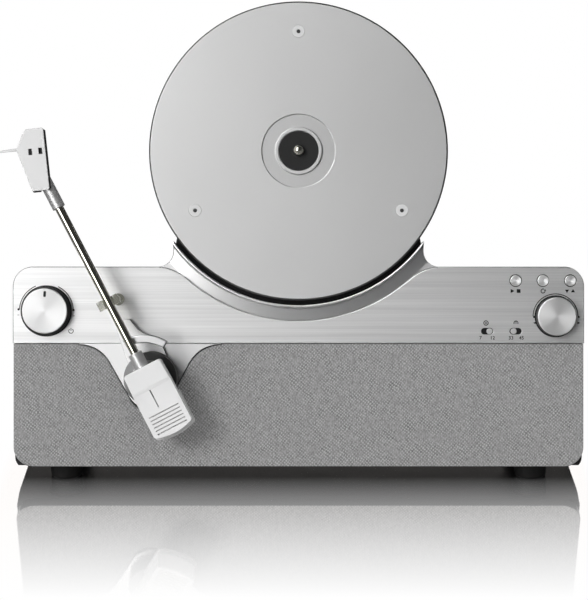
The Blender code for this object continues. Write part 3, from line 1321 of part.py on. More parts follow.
def make_block():
    """Counterweight block: a ribbed cover over the ears and the weight, closed below by a plate."""
    name, finish, outline = "counterweight_cover", "white_plastic", rounded(block_outline())
    cover = solid_plate(name, [outline], BLOCK_BOTTOM, BLOCK_TOP, TILT_AXIS, finish, edge=BLOCK_EDGE)
    roof = BLOCK_TOP - BLOCK_SKIN
    inside = rounded(block_outline(BLOCK_SKIN))
    hollow = solid_plate("cover_hollow", [inside], BLOCK_BOTTOM - OVERRUN, roof, TILT_AXIS)
    cutters = [hollow]
    for i in range(RIB_COUNT):
        along = -RIB_FIRST - (RIB_LAST - RIB_FIRST) * i / (RIB_COUNT - 1)
        near = (-RIB_HALF_LENGTH, along - RIB_GROOVE / 2, BLOCK_TOP - RIB_DEPTH)
        far = (RIB_HALF_LENGTH, along + RIB_GROOVE / 2, BLOCK_TOP + OVERRUN)
        cutters.append(block(f"rib_groove_{i}", near, far, TILT_AXIS))
    near = (MARK_ACROSS - RIB_GROOVE / 2, -MARK_END, BLOCK_TOP - RIB_DEPTH)
    far = (MARK_ACROSS + RIB_GROOVE / 2, -MARK_START, BLOCK_TOP + OVERRUN)
    cutters.append(block("mark_groove", near, far, TILT_AXIS))
    wide = 2 * BLOCK_HALF_WIDTH
    step_floor = BLOCK_TOP - BLOCK_STEP
    cutters.append(block("front_step", (-wide, -BLOCK_WAIST, step_floor), (wide, wide, wide), TILT_AXIS))
    hole = LOWER_COLLAR_RADIUS + GAP
    cutters.append(rod("collar_hole", hole, (0, 0, 0), (0, 2 * BLOCK_FRONT, 0), TILT_AXIS, steps=SMALL_STEPS))
    cut(cover, *cutters)

    top = BLOCK_BOTTOM - GAP
    low, outline = top - UNDER_PLATE_THICKNESS, rounded(block_outline(-UNDER_PLATE_MARGIN))
    lower = solid_plate("counterweight_base", [outline], low, top, TILT_AXIS, finish, edge=EDGE_ROUND)
    cut(lower, block("base_trim", (-wide, -UNDER_PLATE_FRONT, -wide), (wide, wide, wide), TILT_AXIS))

    outline = rounded(block_outline(BLOCK_SKIN + GAP))
    weight = solid_plate("counterweight", [outline], BLOCK_BOTTOM, roof - GAP, TILT_AXIS, "steel")
    cut(weight, block("weight_trim", (-wide, -WEIGHT_FRONT, -wide), (wide, wide, wide), TILT_AXIS))


def make_arm():
    """Everything that tilts on the pin: carrier, tube, collars, headshell and cartridge."""
    half = EAR_GAP / 2 - GAP
    near = (-half, -CARRIER_HALF_LENGTH, -CARRIER_HALF_HEIGHT)
    carrier = block("arm_carrier", near, (half, CARRIER_HALF_LENGTH, CARRIER_HALF_HEIGHT), TILT_AXIS, "steel")
    reach = EAR_GAP / 2 + EAR_THICKNESS
    join(carrier, rod("tilt_pins", TILT_PIN_RADIUS, (-reach, 0, 0), (reach, 0, 0), TILT_AXIS))

    start = CARRIER_HALF_LENGTH + GAP
    near, far = (0, start, 0), (0, TUBE_END, 0)
    rod("arm_tube", TUBE_RADIUS, near, far, TILT_AXIS, "polished_metal", steps=SMALL_STEPS)
    along = (-math.pi / 2, 0, 0)
    bore = TUBE_RADIUS + RUNNING_GAP
    for name, radius, low, high in (
        ("lower_collar", LOWER_COLLAR_RADIUS, start, LOWER_COLLAR_END),
        ("upper_collar", UPPER_COLLAR_RADIUS, UPPER_COLLAR_START, UPPER_COLLAR_END),
    ):
        profile = [(bore, high), (radius - EDGE_ROUND, high), (radius, high - EDGE_ROUND)]
        profile += [(radius, low + EDGE_ROUND), (radius - EDGE_ROUND, low), (bore, low)]
        turned(name, profile, TILT_AXIS, "satin_metal", rotation=along)
    make_headshell()


def make_headshell():
    low = UPPER_COLLAR_RADIUS + GAP
    high = low + HEADSHELL_THICKNESS
    corners = [
        (HEADSHELL_TAIL_LEFT, HEADSHELL_TAIL, HEADSHELL_CORNER),
        (HEADSHELL_RIGHT, HEADSHELL_TAIL, HEADSHELL_CORNER),
        (HEADSHELL_RIGHT, HEADSHELL_NOSE, HEADSHELL_CORNER),
        (HEADSHELL_NOSE_LEFT, HEADSHELL_NOSE, HEADSHELL_CORNER),
        (HEADSHELL_SHOULDER_LEFT, HEADSHELL_SHOULDER, HEADSHELL_CORNER),
        (HEADSHELL_WIDEST_LEFT, HEADSHELL_WIDEST, 2 * HEADSHELL_CORNER),
    ]
    slots = []
    for side in (-1, 1):
        across = CARTRIDGE_CENTRE + side * SLOT_HALF_SPACING
        near = (across - SLOT_WIDTH / 2, SLOT_CENTRE - SLOT_LENGTH / 2, low - OVERRUN)
        far = (across + SLOT_WIDTH / 2, SLOT_CENTRE + SLOT_LENGTH / 2, high + OVERRUN)
        slots.append(block(f"headshell_slot_{side}", near, far, HEADSHELL_FRAME))
    outline = rounded(corners)
    shell = solid_plate("headshell", [outline], low, high, HEADSHELL_FRAME, "silver_paint", edge=EDGE_ROUND)
    cut(shell, *slots)
    right = HEADSHELL_RIGHT - EDGE_ROUND / 2
    near = (right - HEADSHELL_SKIRT, HEADSHELL_SKIRT_START, low - HEADSHELL_SKIRT_DROP)
    far = (right, HEADSHELL_SKIRT_END, high - HEADSHELL_THICKNESS / 2)
    join(shell, block("headshell_skirt", near, far, HEADSHELL_FRAME))

    left, right = CARTRIDGE_CENTRE - CARTRIDGE_WIDTH / 2, CARTRIDGE_CENTRE + CARTRIDGE_WIDTH / 2
    top = low - GAP
    bottom = top - CARTRIDGE_DROP
    outline = [
        (CARTRIDGE_BACK, bottom),
        (CARTRIDGE_FRONT - CARTRIDGE_NOSE, bottom),
        (CARTRIDGE_FRONT, top - CARTRIDGE_NOSE),
        (CARTRIDGE_FRONT, top),
        (CARTRIDGE_BACK, top),
    ]
    sideways = (math.pi / 2, 0, math.pi / 2)
    solid_plate("cartridge", [outline], left, right, HEADSHELL_FRAME, "black_plastic", rotation=sideways)
    tip = STYLUS_TIP_LEVEL - ARM_LEVEL
    seat = bottom - GAP
    outline = [
        (STYLUS_BACK, seat),
        (STYLUS_BACK, (seat + tip) / 2),
        (STYLUS_FORWARD - STYLUS_TIP, tip),
        (STYLUS_FORWARD, tip),
        (STYLUS_FORWARD, tip + STYLUS_TIP),
        (CARTRIDGE_FRONT - CARTRIDGE_NOSE, seat),
    ]
    half = STYLUS_WIDTH / 2
    low_x, high_x = CARTRIDGE_CENTRE - half, CARTRIDGE_CENTRE + half
    solid_plate("stylus", [outline], low_x, high_x, HEADSHELL_FRAME, "white_plastic", rotation=sideways)

    near = (FINGER_TIP, FINGER_FORWARD - FINGER_WIDTH / 2, low - GAP - FINGER_THICKNESS)
    far = (FINGER_ROOT, FINGER_FORWARD + FINGER_WIDTH / 2, low - GAP)
    block("finger_lift", near, far, HEADSHELL_FRAME, "silver_paint", bevel=EDGE_ROUND / 2)


def make_feet():
    top = FLOOR_CLEARANCE - GAP
    profile = [(0, top), (FOOT_TOP_RADIUS, top), (FOOT_RADIUS, FOOT_CHAMFER)]
    profile += [(FOOT_RADIUS - FOOT_CHAMFER, 0), (0, 0)]
    across = BODY_HALF - FOOT_FROM_SIDE
    for row, y in (("front", FOOT_FROM_FRONT), ("back", BODY_DEPTH - FOOT_FROM_BACK)):
        turned(f"foot_{row}_left", profile, ROOT, "rubber", (-across, y, 0))
        turned(f"foot_{row}_right", profile, ROOT, "rubber", (across, y, 0))


def make_main_board():
    low = FLOOR_CLEARANCE + WALL + BOSS_HEIGHT + GAP
    half = MAIN_BOARD_WIDTH / 2
    near = (-half, MAIN_BOARD_BACK - MAIN_BOARD_DEPTH, low)
    block("main_board", near, (half, MAIN_BOARD_BACK, low + BOARD_THICKNESS), ROOT, "board")


def socket_places():
    """Where the sockets sit along the back: two line outputs, a small jack and the power inlet."""
    return [(i - 1.5) * SOCKET_SPACING for i in range(4)]


def make_sockets():
    half = SOCKET_BODY / 2
    high = -WALL - GAP
    low = high - SOCKET_BODY
    places = socket_places()
    bodies = []
    for name, left, right in (("line_jacks", places[0], places[2]), ("dc_inlet", places[3], places[3])):
        near, far = (left - half, -half, low), (right + half, half, high)
        bodies.append(block(name, near, far, SOCKETS, "black_plastic"))
    jacks, inlet = bodies
    reaches = (SOCKET_REACH, SOCKET_REACH, EDGE_ROUND, EDGE_ROUND)
    bores = (SOCKET_BORE, SOCKET_BORE, SOCKET_BORE, INLET_BORE)
    wells = []
    for i, (across, reach, bore) in enumerate(zip(places, reaches, bores)):
        body = inlet if i == 3 else jacks
        foot = high - EDGE_ROUND
        join(body, disc(f"socket_stem_{i}", SOCKET_RADIUS, foot, reach, SOCKETS, centre=(across, 0)))
        wells.append(disc(f"socket_well_{i}", bore, low + half, OVERRUN, SOCKETS, centre=(across, 0)))
    cut(jacks, *wells[:3])
    cut(inlet, wells[3])
    join(inlet, disc("inlet_pin", INLET_PIN, low + half - EDGE_ROUND, -WALL, SOCKETS, centre=(places[3], 0)))
    for step in (*jacks.modifiers, *inlet.modifiers):
        step.solver = "MANIFOLD"


def place_on_floor():
    """Shifts the root so that the origin lies under the middle of the whole model."""
    graph = bpy.context.evaluated_depsgraph_get()
    low = Vector((math.inf, math.inf, math.inf))
    high = -low
    for thing in PARTS.objects:
        if thing.type == "EMPTY":
            continue
        shape = thing.evaluated_get(graph)
        mesh = shape.to_mesh()
        for vert in mesh.vertices:
            point = shape.matrix_world @ vert.co
            low = Vector(map(min, low, point))
            high = Vector(map(max, high, point))
        shape.to_mesh_clear()
    ROOT.location = (-(low.x + high.x) / 2, -(low.y + high.y) / 2, -low.z)
    bpy.context.view_layer.update()


def main():
    make_rear_housing()
    make_neck_cover()
    make_front_baffle()
    make_fascia()
    make_platter_surround()
    make_plinth()
    make_grille()
    make_platter()
    make_bearing()
    make_drive()
    make_speakers()
    make_controls()
    make_cue_lift()
    make_arm_rest()
    make_arm_mount()
    make_arm_drive()
    make_block()
    make_arm()
    make_feet()
    make_main_board()
    make_sockets()
    place_on_floor()


main()
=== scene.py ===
"""Looks of the vertical record player: finer forms, materials, legends, floor, light and camera.

Metres. The face frame has X to the right, Y up the leaning face and Z out of it.
"""

from math import asin, atan2, copysign, cos, pi, radians, sin, tan, tau

import bmesh
import bpy
from mathutils import Matrix, Vector
from mathutils.geometry import tessellate_polygon


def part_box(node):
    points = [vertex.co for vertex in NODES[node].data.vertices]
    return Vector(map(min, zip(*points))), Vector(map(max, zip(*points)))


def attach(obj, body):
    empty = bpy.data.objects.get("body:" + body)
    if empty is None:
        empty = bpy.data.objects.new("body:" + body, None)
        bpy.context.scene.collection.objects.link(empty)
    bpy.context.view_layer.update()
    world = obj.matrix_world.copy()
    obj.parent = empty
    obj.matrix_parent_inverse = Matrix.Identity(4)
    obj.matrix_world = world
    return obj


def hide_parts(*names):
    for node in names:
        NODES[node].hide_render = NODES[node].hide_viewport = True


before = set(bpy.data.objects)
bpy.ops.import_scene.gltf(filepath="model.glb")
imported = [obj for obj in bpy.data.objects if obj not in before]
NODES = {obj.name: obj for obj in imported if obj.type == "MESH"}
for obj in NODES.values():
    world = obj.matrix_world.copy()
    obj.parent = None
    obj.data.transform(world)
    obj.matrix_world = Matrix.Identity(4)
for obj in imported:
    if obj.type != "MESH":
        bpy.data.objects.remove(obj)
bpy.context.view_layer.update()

# Where the face lies, and how the photo's frame lies on it
LEAN = radians(16.5)
FLOOR_CLEARANCE = 0.0129
BOARD_BACK = 0.09
PIXEL = 0.0007
PHOTO_MIDDLE = 298.5
PHOTO_BOTTOM = 469.5
PHOTO_SIZE = (588, 600)

# Body and front panels
BODY_HALF = 0.2
BODY_HEIGHT = 0.142
FACE_CORNER = 0.014
GAP = 0.0003
PANEL_BACK = -0.0077
SEAM_HEIGHT = 0.0882
EDGE_ROUND = 0.0004
FASCIA_ROUND = 0.0005
FASCIA_SKIN = 0.0015
FASCIA_RIM = 0.0015
GRILLE_SINK = 0.0004
GRILLE_INSET = 0.0004
GRILLE_FOOT = 0.0018
GRILLE_EDGE = 0.001
NOTCH_GAP = 0.0006
PLINTH_SLOPE = radians(29.5)
PLINTH_HALF_WIDTH = 0.0349
PLINTH_FLARE_RADIUS = 0.0244
PLINTH_NOSE_RADIUS = 0.016
PLINTH_TAIL = 0.0004
PLINTH_EDGE = 0.00018
PLINTH_CENTRE = -0.1041
OPENING_ROUND = 0.00015
OUTER_BAND = 0.001

# Platter and collar
SPINDLE = (0.0, 0.2224)
PLATTER_RADIUS = 0.104
PLATTER_FACE = 0.01
PLATTER_BACK = -0.002
PLATTER_UNDER = 0.006
PLATTER_RIM = 0.005
PLATTER_BEVEL = 0.001
LABEL_RADIUS = 0.0256
LABEL_FLOOR = 0.009
RING_RADIUS = 0.0164
RING_TOP = 0.0106
DISC_RADIUS = 0.0138
DISC_TOP = 0.0109
SPINDLE_RADIUS = 0.0036
SPINDLE_NOSE = 0.019
SPINDLE_TAIL = -0.034
PAD_CIRCLE = 0.083
PAD_RADIUS = 0.0045
PAD_HOLE = 0.0014
PAD_DEPTH = 0.001
RIM_BAND = 0.0012
BAY_RADIUS = 0.1074
LIP_WIDTH = 0.0014
LIP_HEIGHT = 0.007
LIP_ROUND = 0.00035
COLLAR_RADIUS = 0.1183
COVE_BEND_SHARE = 0.07
COVE_FOOT_SHARE = 0.34
COVE_ROUND = 0.0012
HORN_HALF_WIDTH = 0.0874
HORN_RISE = 0.0172
HORN_FILLET = 0.011
HORN_TAIL = 0.0005
HORN_EDGE = 0.0006
HORN_TAIL_ANGLE = radians(80)
FLARE_ANGLE = radians(40)
FLARE_STEPS = 16
FAN_ANGLE = radians(42.5)
HORN_STEPS = 4
COVE_STEPS = 24

# Controls
VOLUME_SPOT = (-0.1765, 0.111)
JOG_SPOT = (0.1799, 0.1072)
KNOB_HEIGHT = 0.0095
KNOBS = {
    "volume": {"spot": VOLUME_SPOT, "lift": 0.0013, "skirt": 0.0172, "face": 0.0157, "travel": 0.0008},
    "jog": {"spot": JOG_SPOT, "lift": 0.0006, "skirt": 0.014, "face": 0.0134, "travel": 0.0},
}
BUTTON_SPOTS = {"start": (0.1521, 0.1322), "repeat": (0.1711, 0.1322), "arm": (0.1903, 0.1322)}
BUTTON_RADIUS = 0.0039
BUTTON_RISE = 0.0012
BUTTON_CLEARANCE = 0.0005
SWITCH_SPOTS = {"size": (0.1321, 0.0968, 1), "speed": (0.152, 0.0968, -1)}
SWITCH_OFFSET = 0.0015
SLOT_HALF = (0.0043, 0.0023)
SHAFT_HOLE = 0.0036
STEM_SPOT = (-0.106, 0.092)
STEM_HOLE = 0.0019

# Tonearm
PIVOT = (-0.1027, 0.064)
ARM_REST_ANGLE = radians(27.5)
ARM_LEVEL = 0.031
SHELL_START = 0.148
OFFSET_ANGLE = radians(21.4)
DRUM_RADIUS = 0.0187
DRUM_TOP_RADIUS = 0.0185
DRUM_HEIGHT = 0.016
BEARING_BORE = 0.0083
TUBE_RADIUS = 0.003
TUBE_START = 0.0075
TUBE_END = 0.15
SLEEVES = {"lower": (0.0049, TUBE_START, 0.0205), "upper": (0.0045, 0.1327, 0.158)}
REST_SPOT = (0.0047, 0.0597)
BRACKET_CORNERS = [
    (-0.0192, 0.0412, 0.0015), (-0.0245, 0.0345, 0.0015), (-0.015, 0.006, 0.0), (0.015, 0.006, 0.0),
    (0.006, 0.027, 0.0015), (-0.0083, 0.033, 0.012), (-0.015, 0.0412, 0.0005),
]
BLOCK_TOP = 0.01
BLOCK_BOTTOM = -0.007
BLOCK_WAIST = 0.0052
BLOCK_STEP = 0.0012
SHELL_LEVEL = 0.0048
SHELL_CORNERS = [
    (-0.0107, -0.0015, 0.0015), (0.0012, -0.0015, 0.0015), (0.0012, 0.0411, 0.0015),
    (-0.0108, 0.0411, 0.0015), (-0.0137, 0.038, 0.0015), (-0.0186, 0.0278, 0.003),
]
SHELL_SKIRTS = [((-0.0002, -0.0006), (0.0018, 0.0398)), ((-0.0104, -0.0021), (-0.0052, -0.0002))]

# Legends, in pixels of the photo's frame
KNOB_MARK = (46.3, 294.0)
DOTS = [(18.6, 309.3), (73.5, 310.0), (534.2, 317.0), (578.8, 317.0)]
MINUS = (18.3, 315.0)
PLUS = (73.8, 315.8)
JOG_ARROWS = {-1: (534.5, 322.9), 1: (578.7, 322.9)}
START_SIGN = (515.5, 291.0)
REPEAT_SIGN = (543.0, 291.0)
ARM_SIGN = (570.0, 291.0)
SIZE_SIGN = (486.0, 323.0)
SPEED_SIGN = (516.0, 323.0)
POWER_SIGN = (71.0, 331.0)
NUMBERS = {"7": (480.5, 338.0), "12": (492.5, 338.0), "33": (511.0, 338.0), "45": (521.5, 338.0)}

# The neck's screws at the back: half their distance apart, and their height up the face
NECK_BACK = -0.0493
NECK_SCREWS = [(0.076, 0.15), (0.062, 0.196), (0.028, 0.262)]

# Camera, light and floor. Windows are (low, high, soft edge).
SENSOR = 0.036
VIEW_DISTANCE = 1.44
KEY_SPOT = (-1.43, 0.72, 2.6)
KEY_TARGET = (-0.03, 0.12, 0)
KEY_SIZE = 0.85
KEY_POWER = 42
SOFTBOX_ACROSS = (radians(16), radians(46), radians(3))
SOFTBOX_HIGH = (-0.5, 0.8, 0.12)
SOFTBOX_LEVEL = 5.6
ROOM_LEVEL = 0.035
EVEN_LIGHT = 0.6
FLOOR_REACH = 12
FLOOR_SHINE = 0.13
FLOOR_WHITE = (0.93, 0.93, 0.93, 1)
WHITE = (1, 1, 1, 1)
BEHIND = (-0.72, -0.55)
ASIDE = (0.2, 0.35)
FAR_SHARES = (0.82, 1.0)
FAR_DISTANCE = 0.1
GLOSS_TINT = (1.0, 0.975, 0.96, 1)
GLOSS_ROUGHNESS = 0.05
GLOSS_DEPTH = 0.03
GLOSS_STRETCH = 20.0
GLOSS_FADE = (0.027, 0.23)
GLOSS_FACING = (0.15, 0.5)

# How finely rounds are cut, the bends that count as sharp and as flat, how far cutters overrun, the least
# length that counts, and how far from a turned edge its supporting rings lie
FINE = radians(3)
LATHE_STEP = radians(15)
SHARP = radians(32)
FLAT = radians(0.6)
CUT = 0.02
LEAST = 0.00001
SUPPORT = 0.00015

# Greatest share of a face's normal along Z, for choosing the faces that get painted shade: for walls, for
# rounded edges and for every edge
WALL = 0.4
ROUND = 0.8
EDGE = 0.99


def shifted(base, x, y, z=0.0):
    return base @ Matrix.Translation((x, y, z))


grille_low, grille_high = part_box("speaker_grille")
board_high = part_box("main_board")[1]
CORNER = Vector(((grille_low.x + grille_high.x) / 2, board_high.y - BOARD_BACK, FLOOR_CLEARANCE))
FACE = Matrix.Translation(CORNER) @ Matrix.Rotation(pi / 2 - LEAN, 4, "X")
PLATTER = shifted(FACE, *SPINDLE)
ARM = shifted(FACE, *PIVOT) @ Matrix.Rotation(ARM_REST_ANGLE, 4, "Z")
TILT = shifted(ARM, 0, 0, ARM_LEVEL)
SHELL = shifted(TILT, 0, SHELL_START) @ Matrix.Rotation(-OFFSET_ANGLE, 4, "Z")


def on_face(x, y):
    """A pixel of the photo's frame as a point on the face."""
    return (x - PHOTO_MIDDLE) * PIXEL, (PHOTO_BOTTOM - y) * PIXEL


# Outlines

def arc(centre, radius, start, end, step=FINE):
    count = max(1, round(abs(end - start) / step))
    turn = (end - start) / count
    return [
        (centre[0] + radius * cos(start + i * turn), centre[1] + radius * sin(start + i * turn))
        for i in range(count + 1)
    ]


def circle(centre, radius, steps=64):
    return arc(centre, radius, 0, tau, tau / steps)[:-1]


def capsule(centre, half_length, radius):
    reach = half_length - radius
    right = arc((centre[0] + reach, centre[1]), radius, -pi / 2, pi / 2, 2 * FINE)
    return right + arc((centre[0] - reach, centre[1]), radius, pi / 2, 3 * pi / 2, 2 * FINE)


def directions(corners, i):
    """A corner's point, and the directions of the sides before and after it."""
    here = Vector(corners[i][:2])
    before = (here - Vector(corners[i - 1][:2])).normalized()
    after = (Vector(corners[(i + 1) % len(corners)][:2]) - here).normalized()
    return here, before, after


def inset(corners, distance):
    """Corners of (x, y) or (x, y, radius), anticlockwise, moved inwards with their radii."""
    corners = [(*corner, 0.0)[:3] for corner in corners]
    moved = []
    for i, (x, y, radius) in enumerate(corners):
        _, before, after = directions(corners, i)
        turn = before.x * after.y - before.y * after.x
        normals = Vector((-before.y, before.x)) + Vector((-after.y, after.x))
        shift = normals * distance / (1 + before.dot(after))
        kept = max(LEAST, radius - copysign(distance, turn)) if radius else 0.0
        moved.append((x + shift.x, y + shift.y, kept))
    return moved


def rounded(corners, step=FINE):
    corners = [(*corner, 0.0)[:3] for corner in corners]
    points = []
    for i, (x, y, radius) in enumerate(corners):
        if not radius:
            points.append((x, y))
            continue
        here, before, after = directions(corners, i)
        turn = atan2(before.x * after.y - before.y * after.x, before.dot(after))
        reach = radius * tan(abs(turn) / 2)
        centre = here - before * reach + Vector((-before.y, before.x)) * copysign(radius, turn)
        first = here - before * reach - centre
        start = atan2(first.y, first.x)
        points += arc(centre, radius, start, start + turn, step)
    return points


def rectangle(left, bottom, right, top, radius=0.0):
    return [(left, bottom, radius), (right, bottom, radius), (right, top, radius), (left, top, radius)]


def shaped(corners, step=FINE):
    """An outline's function of how far it is inset."""
    return lambda extra: rounded(inset(corners, extra), step)


def hole(centre, radius):
    return lambda extra: circle(centre, radius + extra)


def fixed(points):
    """An outline's function for one that is never inset."""
    return lambda extra: points


def rounding(edge, level, low, steps=4):
    """Steps of (inset, level) round an upper edge and down to low."""
    turns = [pi / 2 * i / steps for i in range(steps + 1)]
    return [(edge * (1 - sin(t)), level - edge * (1 - cos(t))) for t in turns] + [(0, low)]


def rounding_both(edge, level, low, steps=4):
    upper = rounding(edge, level, low + edge, steps)
    turns = [pi / 2 * i / steps for i in range(1, steps + 1)]
    return upper + [(edge * (1 - cos(t)), low + edge * (1 - sin(t))) for t in turns]


# Meshes

def added(name, data):
    thing = bpy.data.objects.new(name, data)
    bpy.context.scene.collection.objects.link(thing)
    return thing


def meshed(name, points, faces, smooth):
    mesh = bpy.data.meshes.new(name)
    mesh.from_pydata([Vector(p) for p in points], [], faces)
    mesh.polygons.foreach_set("use_smooth", smooth)
    form = bmesh.new()
    form.from_mesh(mesh)
    bmesh.ops.recalc_face_normals(form, faces=form.faces)
    form.to_mesh(mesh)
    form.free()
    return sharpened(mesh)


def sharpened(mesh):
    """Marks the edges that bend much as sharp, and leaves flat faces flat."""
    flags = [face.use_smooth for face in mesh.polygons]
    mesh.set_sharp_from_angle(angle=SHARP)
    mesh.polygons.foreach_set("use_smooth", flags)
    return mesh


def slab(name, walls):
    """A flat form: each wall is an outline's function and its steps of (inset, level), top to bottom."""
    points, faces, smooth = [], [], []
    caps = ([], [])
    for outline, steps in walls:
        rings = []
        for extra, level in steps:
            ring = outline(extra)
            rings.append(range(len(points), len(points) + len(ring)))
            points += [(x, y, level) for x, y in ring]
        for upper, lower in zip(rings, rings[1:]):
            for i in range(len(upper)):
                j = (i + 1) % len(upper)
                faces.append((upper[i], lower[i], lower[j], upper[j]))
                smooth.append(True)
        caps[0].append(rings[0])
        caps[1].append(rings[-1])
    for loops in caps:
        order = [i for ring in loops for i in ring]
        for triangle in tessellate_polygon([[Vector(points[i]) for i in ring] for ring in loops]):
            faces.append(tuple(order[i] for i in triangle))
            smooth.append(False)
    return meshed(name, points, faces, smooth)


def tube(inner, outer, high, low, round_high=0.0, round_low=0.0, dome=0.0):
    """Corners of a plain tube for lathe(), or of a rod when inner is 0."""
    return [(inner, high + dome), (outer, high, round_high), (outer, low, round_low), (inner, low)]


def lathe(name, corners, steps, bore=False):
    """Corners of (radius, level) or (radius, level, round) down the outer side, turned about Z."""
    profile = rounded(corners, LATHE_STEP)
    if bore:
        profile.append(profile[0])
    eased = [profile[0]]
    for first, last in zip(profile, profile[1:]):
        line = Vector(last) - Vector(first)
        if line.length > 4 * SUPPORT:
            step = line.normalized() * SUPPORT
            eased += [tuple(Vector(first) + step), tuple(Vector(last) - step)]
        eased.append(last)
    if bore:
        eased.pop()
    points, rings = [], []
    for radius, level in eased:
        if radius < LEAST:
            rings.append([len(points)] * steps)
            points.append((0, 0, level))
        else:
            rings.append(list(range(len(points), len(points) + steps)))
            points += [(x, y, level) for x, y in circle((0, 0), radius, steps)]
    faces = []
    for upper, lower in zip(rings, rings[1:] + (rings[:1] if bore else [])):
        for i in range(steps):
            j = (i + 1) % steps
            face = list(dict.fromkeys((upper[i], lower[i], lower[j], upper[j])))
            if len(face) > 2:
                faces.append(face)
    return meshed(name, points, faces, [True] * len(faces))


def brick(name, low, high, edge=0.0):
    """A box between two corners with rounded edges."""
    mesh = bpy.data.meshes.new(name)
    form = bmesh.new()
    bmesh.ops.create_cube(form, size=1.0)
    for vert in form.verts:
        vert.co = [l if c < 0 else h for c, l, h in zip(vert.co, low, high)]
    if edge:
        bmesh.ops.bevel(form, geom=form.edges, offset=edge, segments=2, profile=0.5, affect="EDGES")
    form.to_mesh(mesh)
    form.free()
    return mesh


def moved(mesh, matrix):
    mesh.transform(matrix)
    return mesh


def carved(mesh, others, operation="DIFFERENCE"):
    """The mesh after Booleans with the others, all in one frame."""
    base = added("base", mesh)
    helpers = [base]
    for other in others:
        helper = added("helper", other)
        step = base.modifiers.new("step", "BOOLEAN")
        step.operation = operation
        step.object = helper
        step.solver = "EXACT"
        helpers.append(helper)
    graph = bpy.context.evaluated_depsgraph_get()
    made = bpy.data.meshes.new_from_object(base.evaluated_get(graph))
    for helper in helpers:
        bpy.data.objects.remove(helper, do_unlink=True)
    return sharpened(made)


def merged(name, meshes):
    """Several meshes as one, for small parts that lie apart."""
    form = bmesh.new()
    for mesh in meshes:
        form.from_mesh(mesh)
    made = bpy.data.meshes.new(name)
    form.to_mesh(made)
    form.free()
    return made


# Materials

def surface(name, colour, roughness, metallic, **more):
    made = bpy.data.materials.new(name)
    made.use_nodes = True
    shader = made.node_tree.nodes["Principled BSDF"]
    shader.inputs["Base Color"].default_value = (*colour, 1.0)
    shader.inputs["Roughness"].default_value = roughness
    shader.inputs["Metallic"].default_value = metallic
    for key, value in more.items():
        shader.inputs[key.replace("_", " ")].default_value = value
    return made


def node(place, kind, **inputs):
    """A new node in a tree, or in the tree of a socket, with its inputs linked or set."""
    tree = place.id_data
    fresh = tree.nodes.new(kind)
    for key, value in inputs.items():
        slot = fresh.inputs[int(key[1:])] if key[1:].isdigit() else fresh.inputs[key.replace("_", " ")]
        if isinstance(value, bpy.types.NodeSocket):
            tree.links.new(value, slot)
        else:
            slot.default_value = value
    return fresh


def coords(tree, scale, turn=0.0):
    place = node(tree, "ShaderNodeTexCoord").outputs["Object"]
    return node(tree, "ShaderNodeMapping", Vector=place, Rotation=(0, 0, turn), Scale=scale).outputs[0]


def noise(vector, detail, roughness=0.5, scale=1.0):
    fresh = node(vector, "ShaderNodeTexNoise", Vector=vector, Scale=scale, Detail=detail, Roughness=roughness)
    return fresh.outputs["Fac"]


def bands(vector, distortion, detail, detail_scale):
    fresh = node(vector, "ShaderNodeTexWave", Vector=vector, Scale=1.0, Distortion=distortion, Detail=detail)
    fresh.inputs["Detail Scale"].default_value = detail_scale
    fresh.bands_direction = "X"
    return fresh.outputs["Fac"]


def spread(value, low, high, start=0.3, end=0.7):
    """The value stretched from start..end to low..high."""
    fresh = node(value, "ShaderNodeMapRange", Value=value)
    for key, number in (("From Min", start), ("From Max", end), ("To Min", low), ("To Max", high)):
        fresh.inputs[key].default_value = number
    return fresh.outputs["Result"]


def maths(operation):
    """A function that adds this operation's node to the tree of its first value."""
    def applied(first, second=0.0):
        fresh = node(first, "ShaderNodeMath", i0=first, i1=second)
        fresh.operation = operation
        return fresh.outputs[0]

    return applied


plus, minus, times, greater = maths("ADD"), maths("SUBTRACT"), maths("MULTIPLY"), maths("MAXIMUM")
power, square_root, absolute, arctangent = maths("POWER"), maths("SQRT"), maths("ABSOLUTE"), maths("ARCTAN2")


def vector_maths(operation, first, second):
    fresh = node(first, "ShaderNodeVectorMath", i0=first, i1=second)
    fresh.operation = operation
    return fresh.outputs["Value"] if operation in ("DOT_PRODUCT", "LENGTH") else fresh.outputs[0]


def blend(value, dark, light):
    fresh = node(value, "ShaderNodeMix", i0=value)
    fresh.data_type = "RGBA"
    fresh.inputs[6].default_value = (*dark, 1.0)
    fresh.inputs[7].default_value = (*light, 1.0)
    return fresh.outputs[2]


def drive(made, **links):
    shader = made.node_tree.nodes["Principled BSDF"]
    for key, value in links.items():
        made.node_tree.links.new(value, shader.inputs[key.replace("_", " ")])


def bump(height, depth, strength):
    return node(height, "ShaderNodeBump", Height=height, Strength=strength, Distance=depth).outputs[0]


def grey(value):
    return (value, value, value)


def toned(colour, share):
    return tuple(min(1.0, c * share) for c in colour)


def finish(made, tone, tones, rough, height, depth, strength, **more):
    """Drives a material's colour by tone between two shares of it, its gloss and its bumps."""
    colour = made.node_tree.nodes["Principled BSDF"].inputs["Base Color"].default_value[:3]
    dark, light = (toned(colour, share) for share in tones)
    drive(made, Base_Color=blend(tone, dark, light), Roughness=rough,
          Normal=bump(height, depth, strength), **more)
    return made


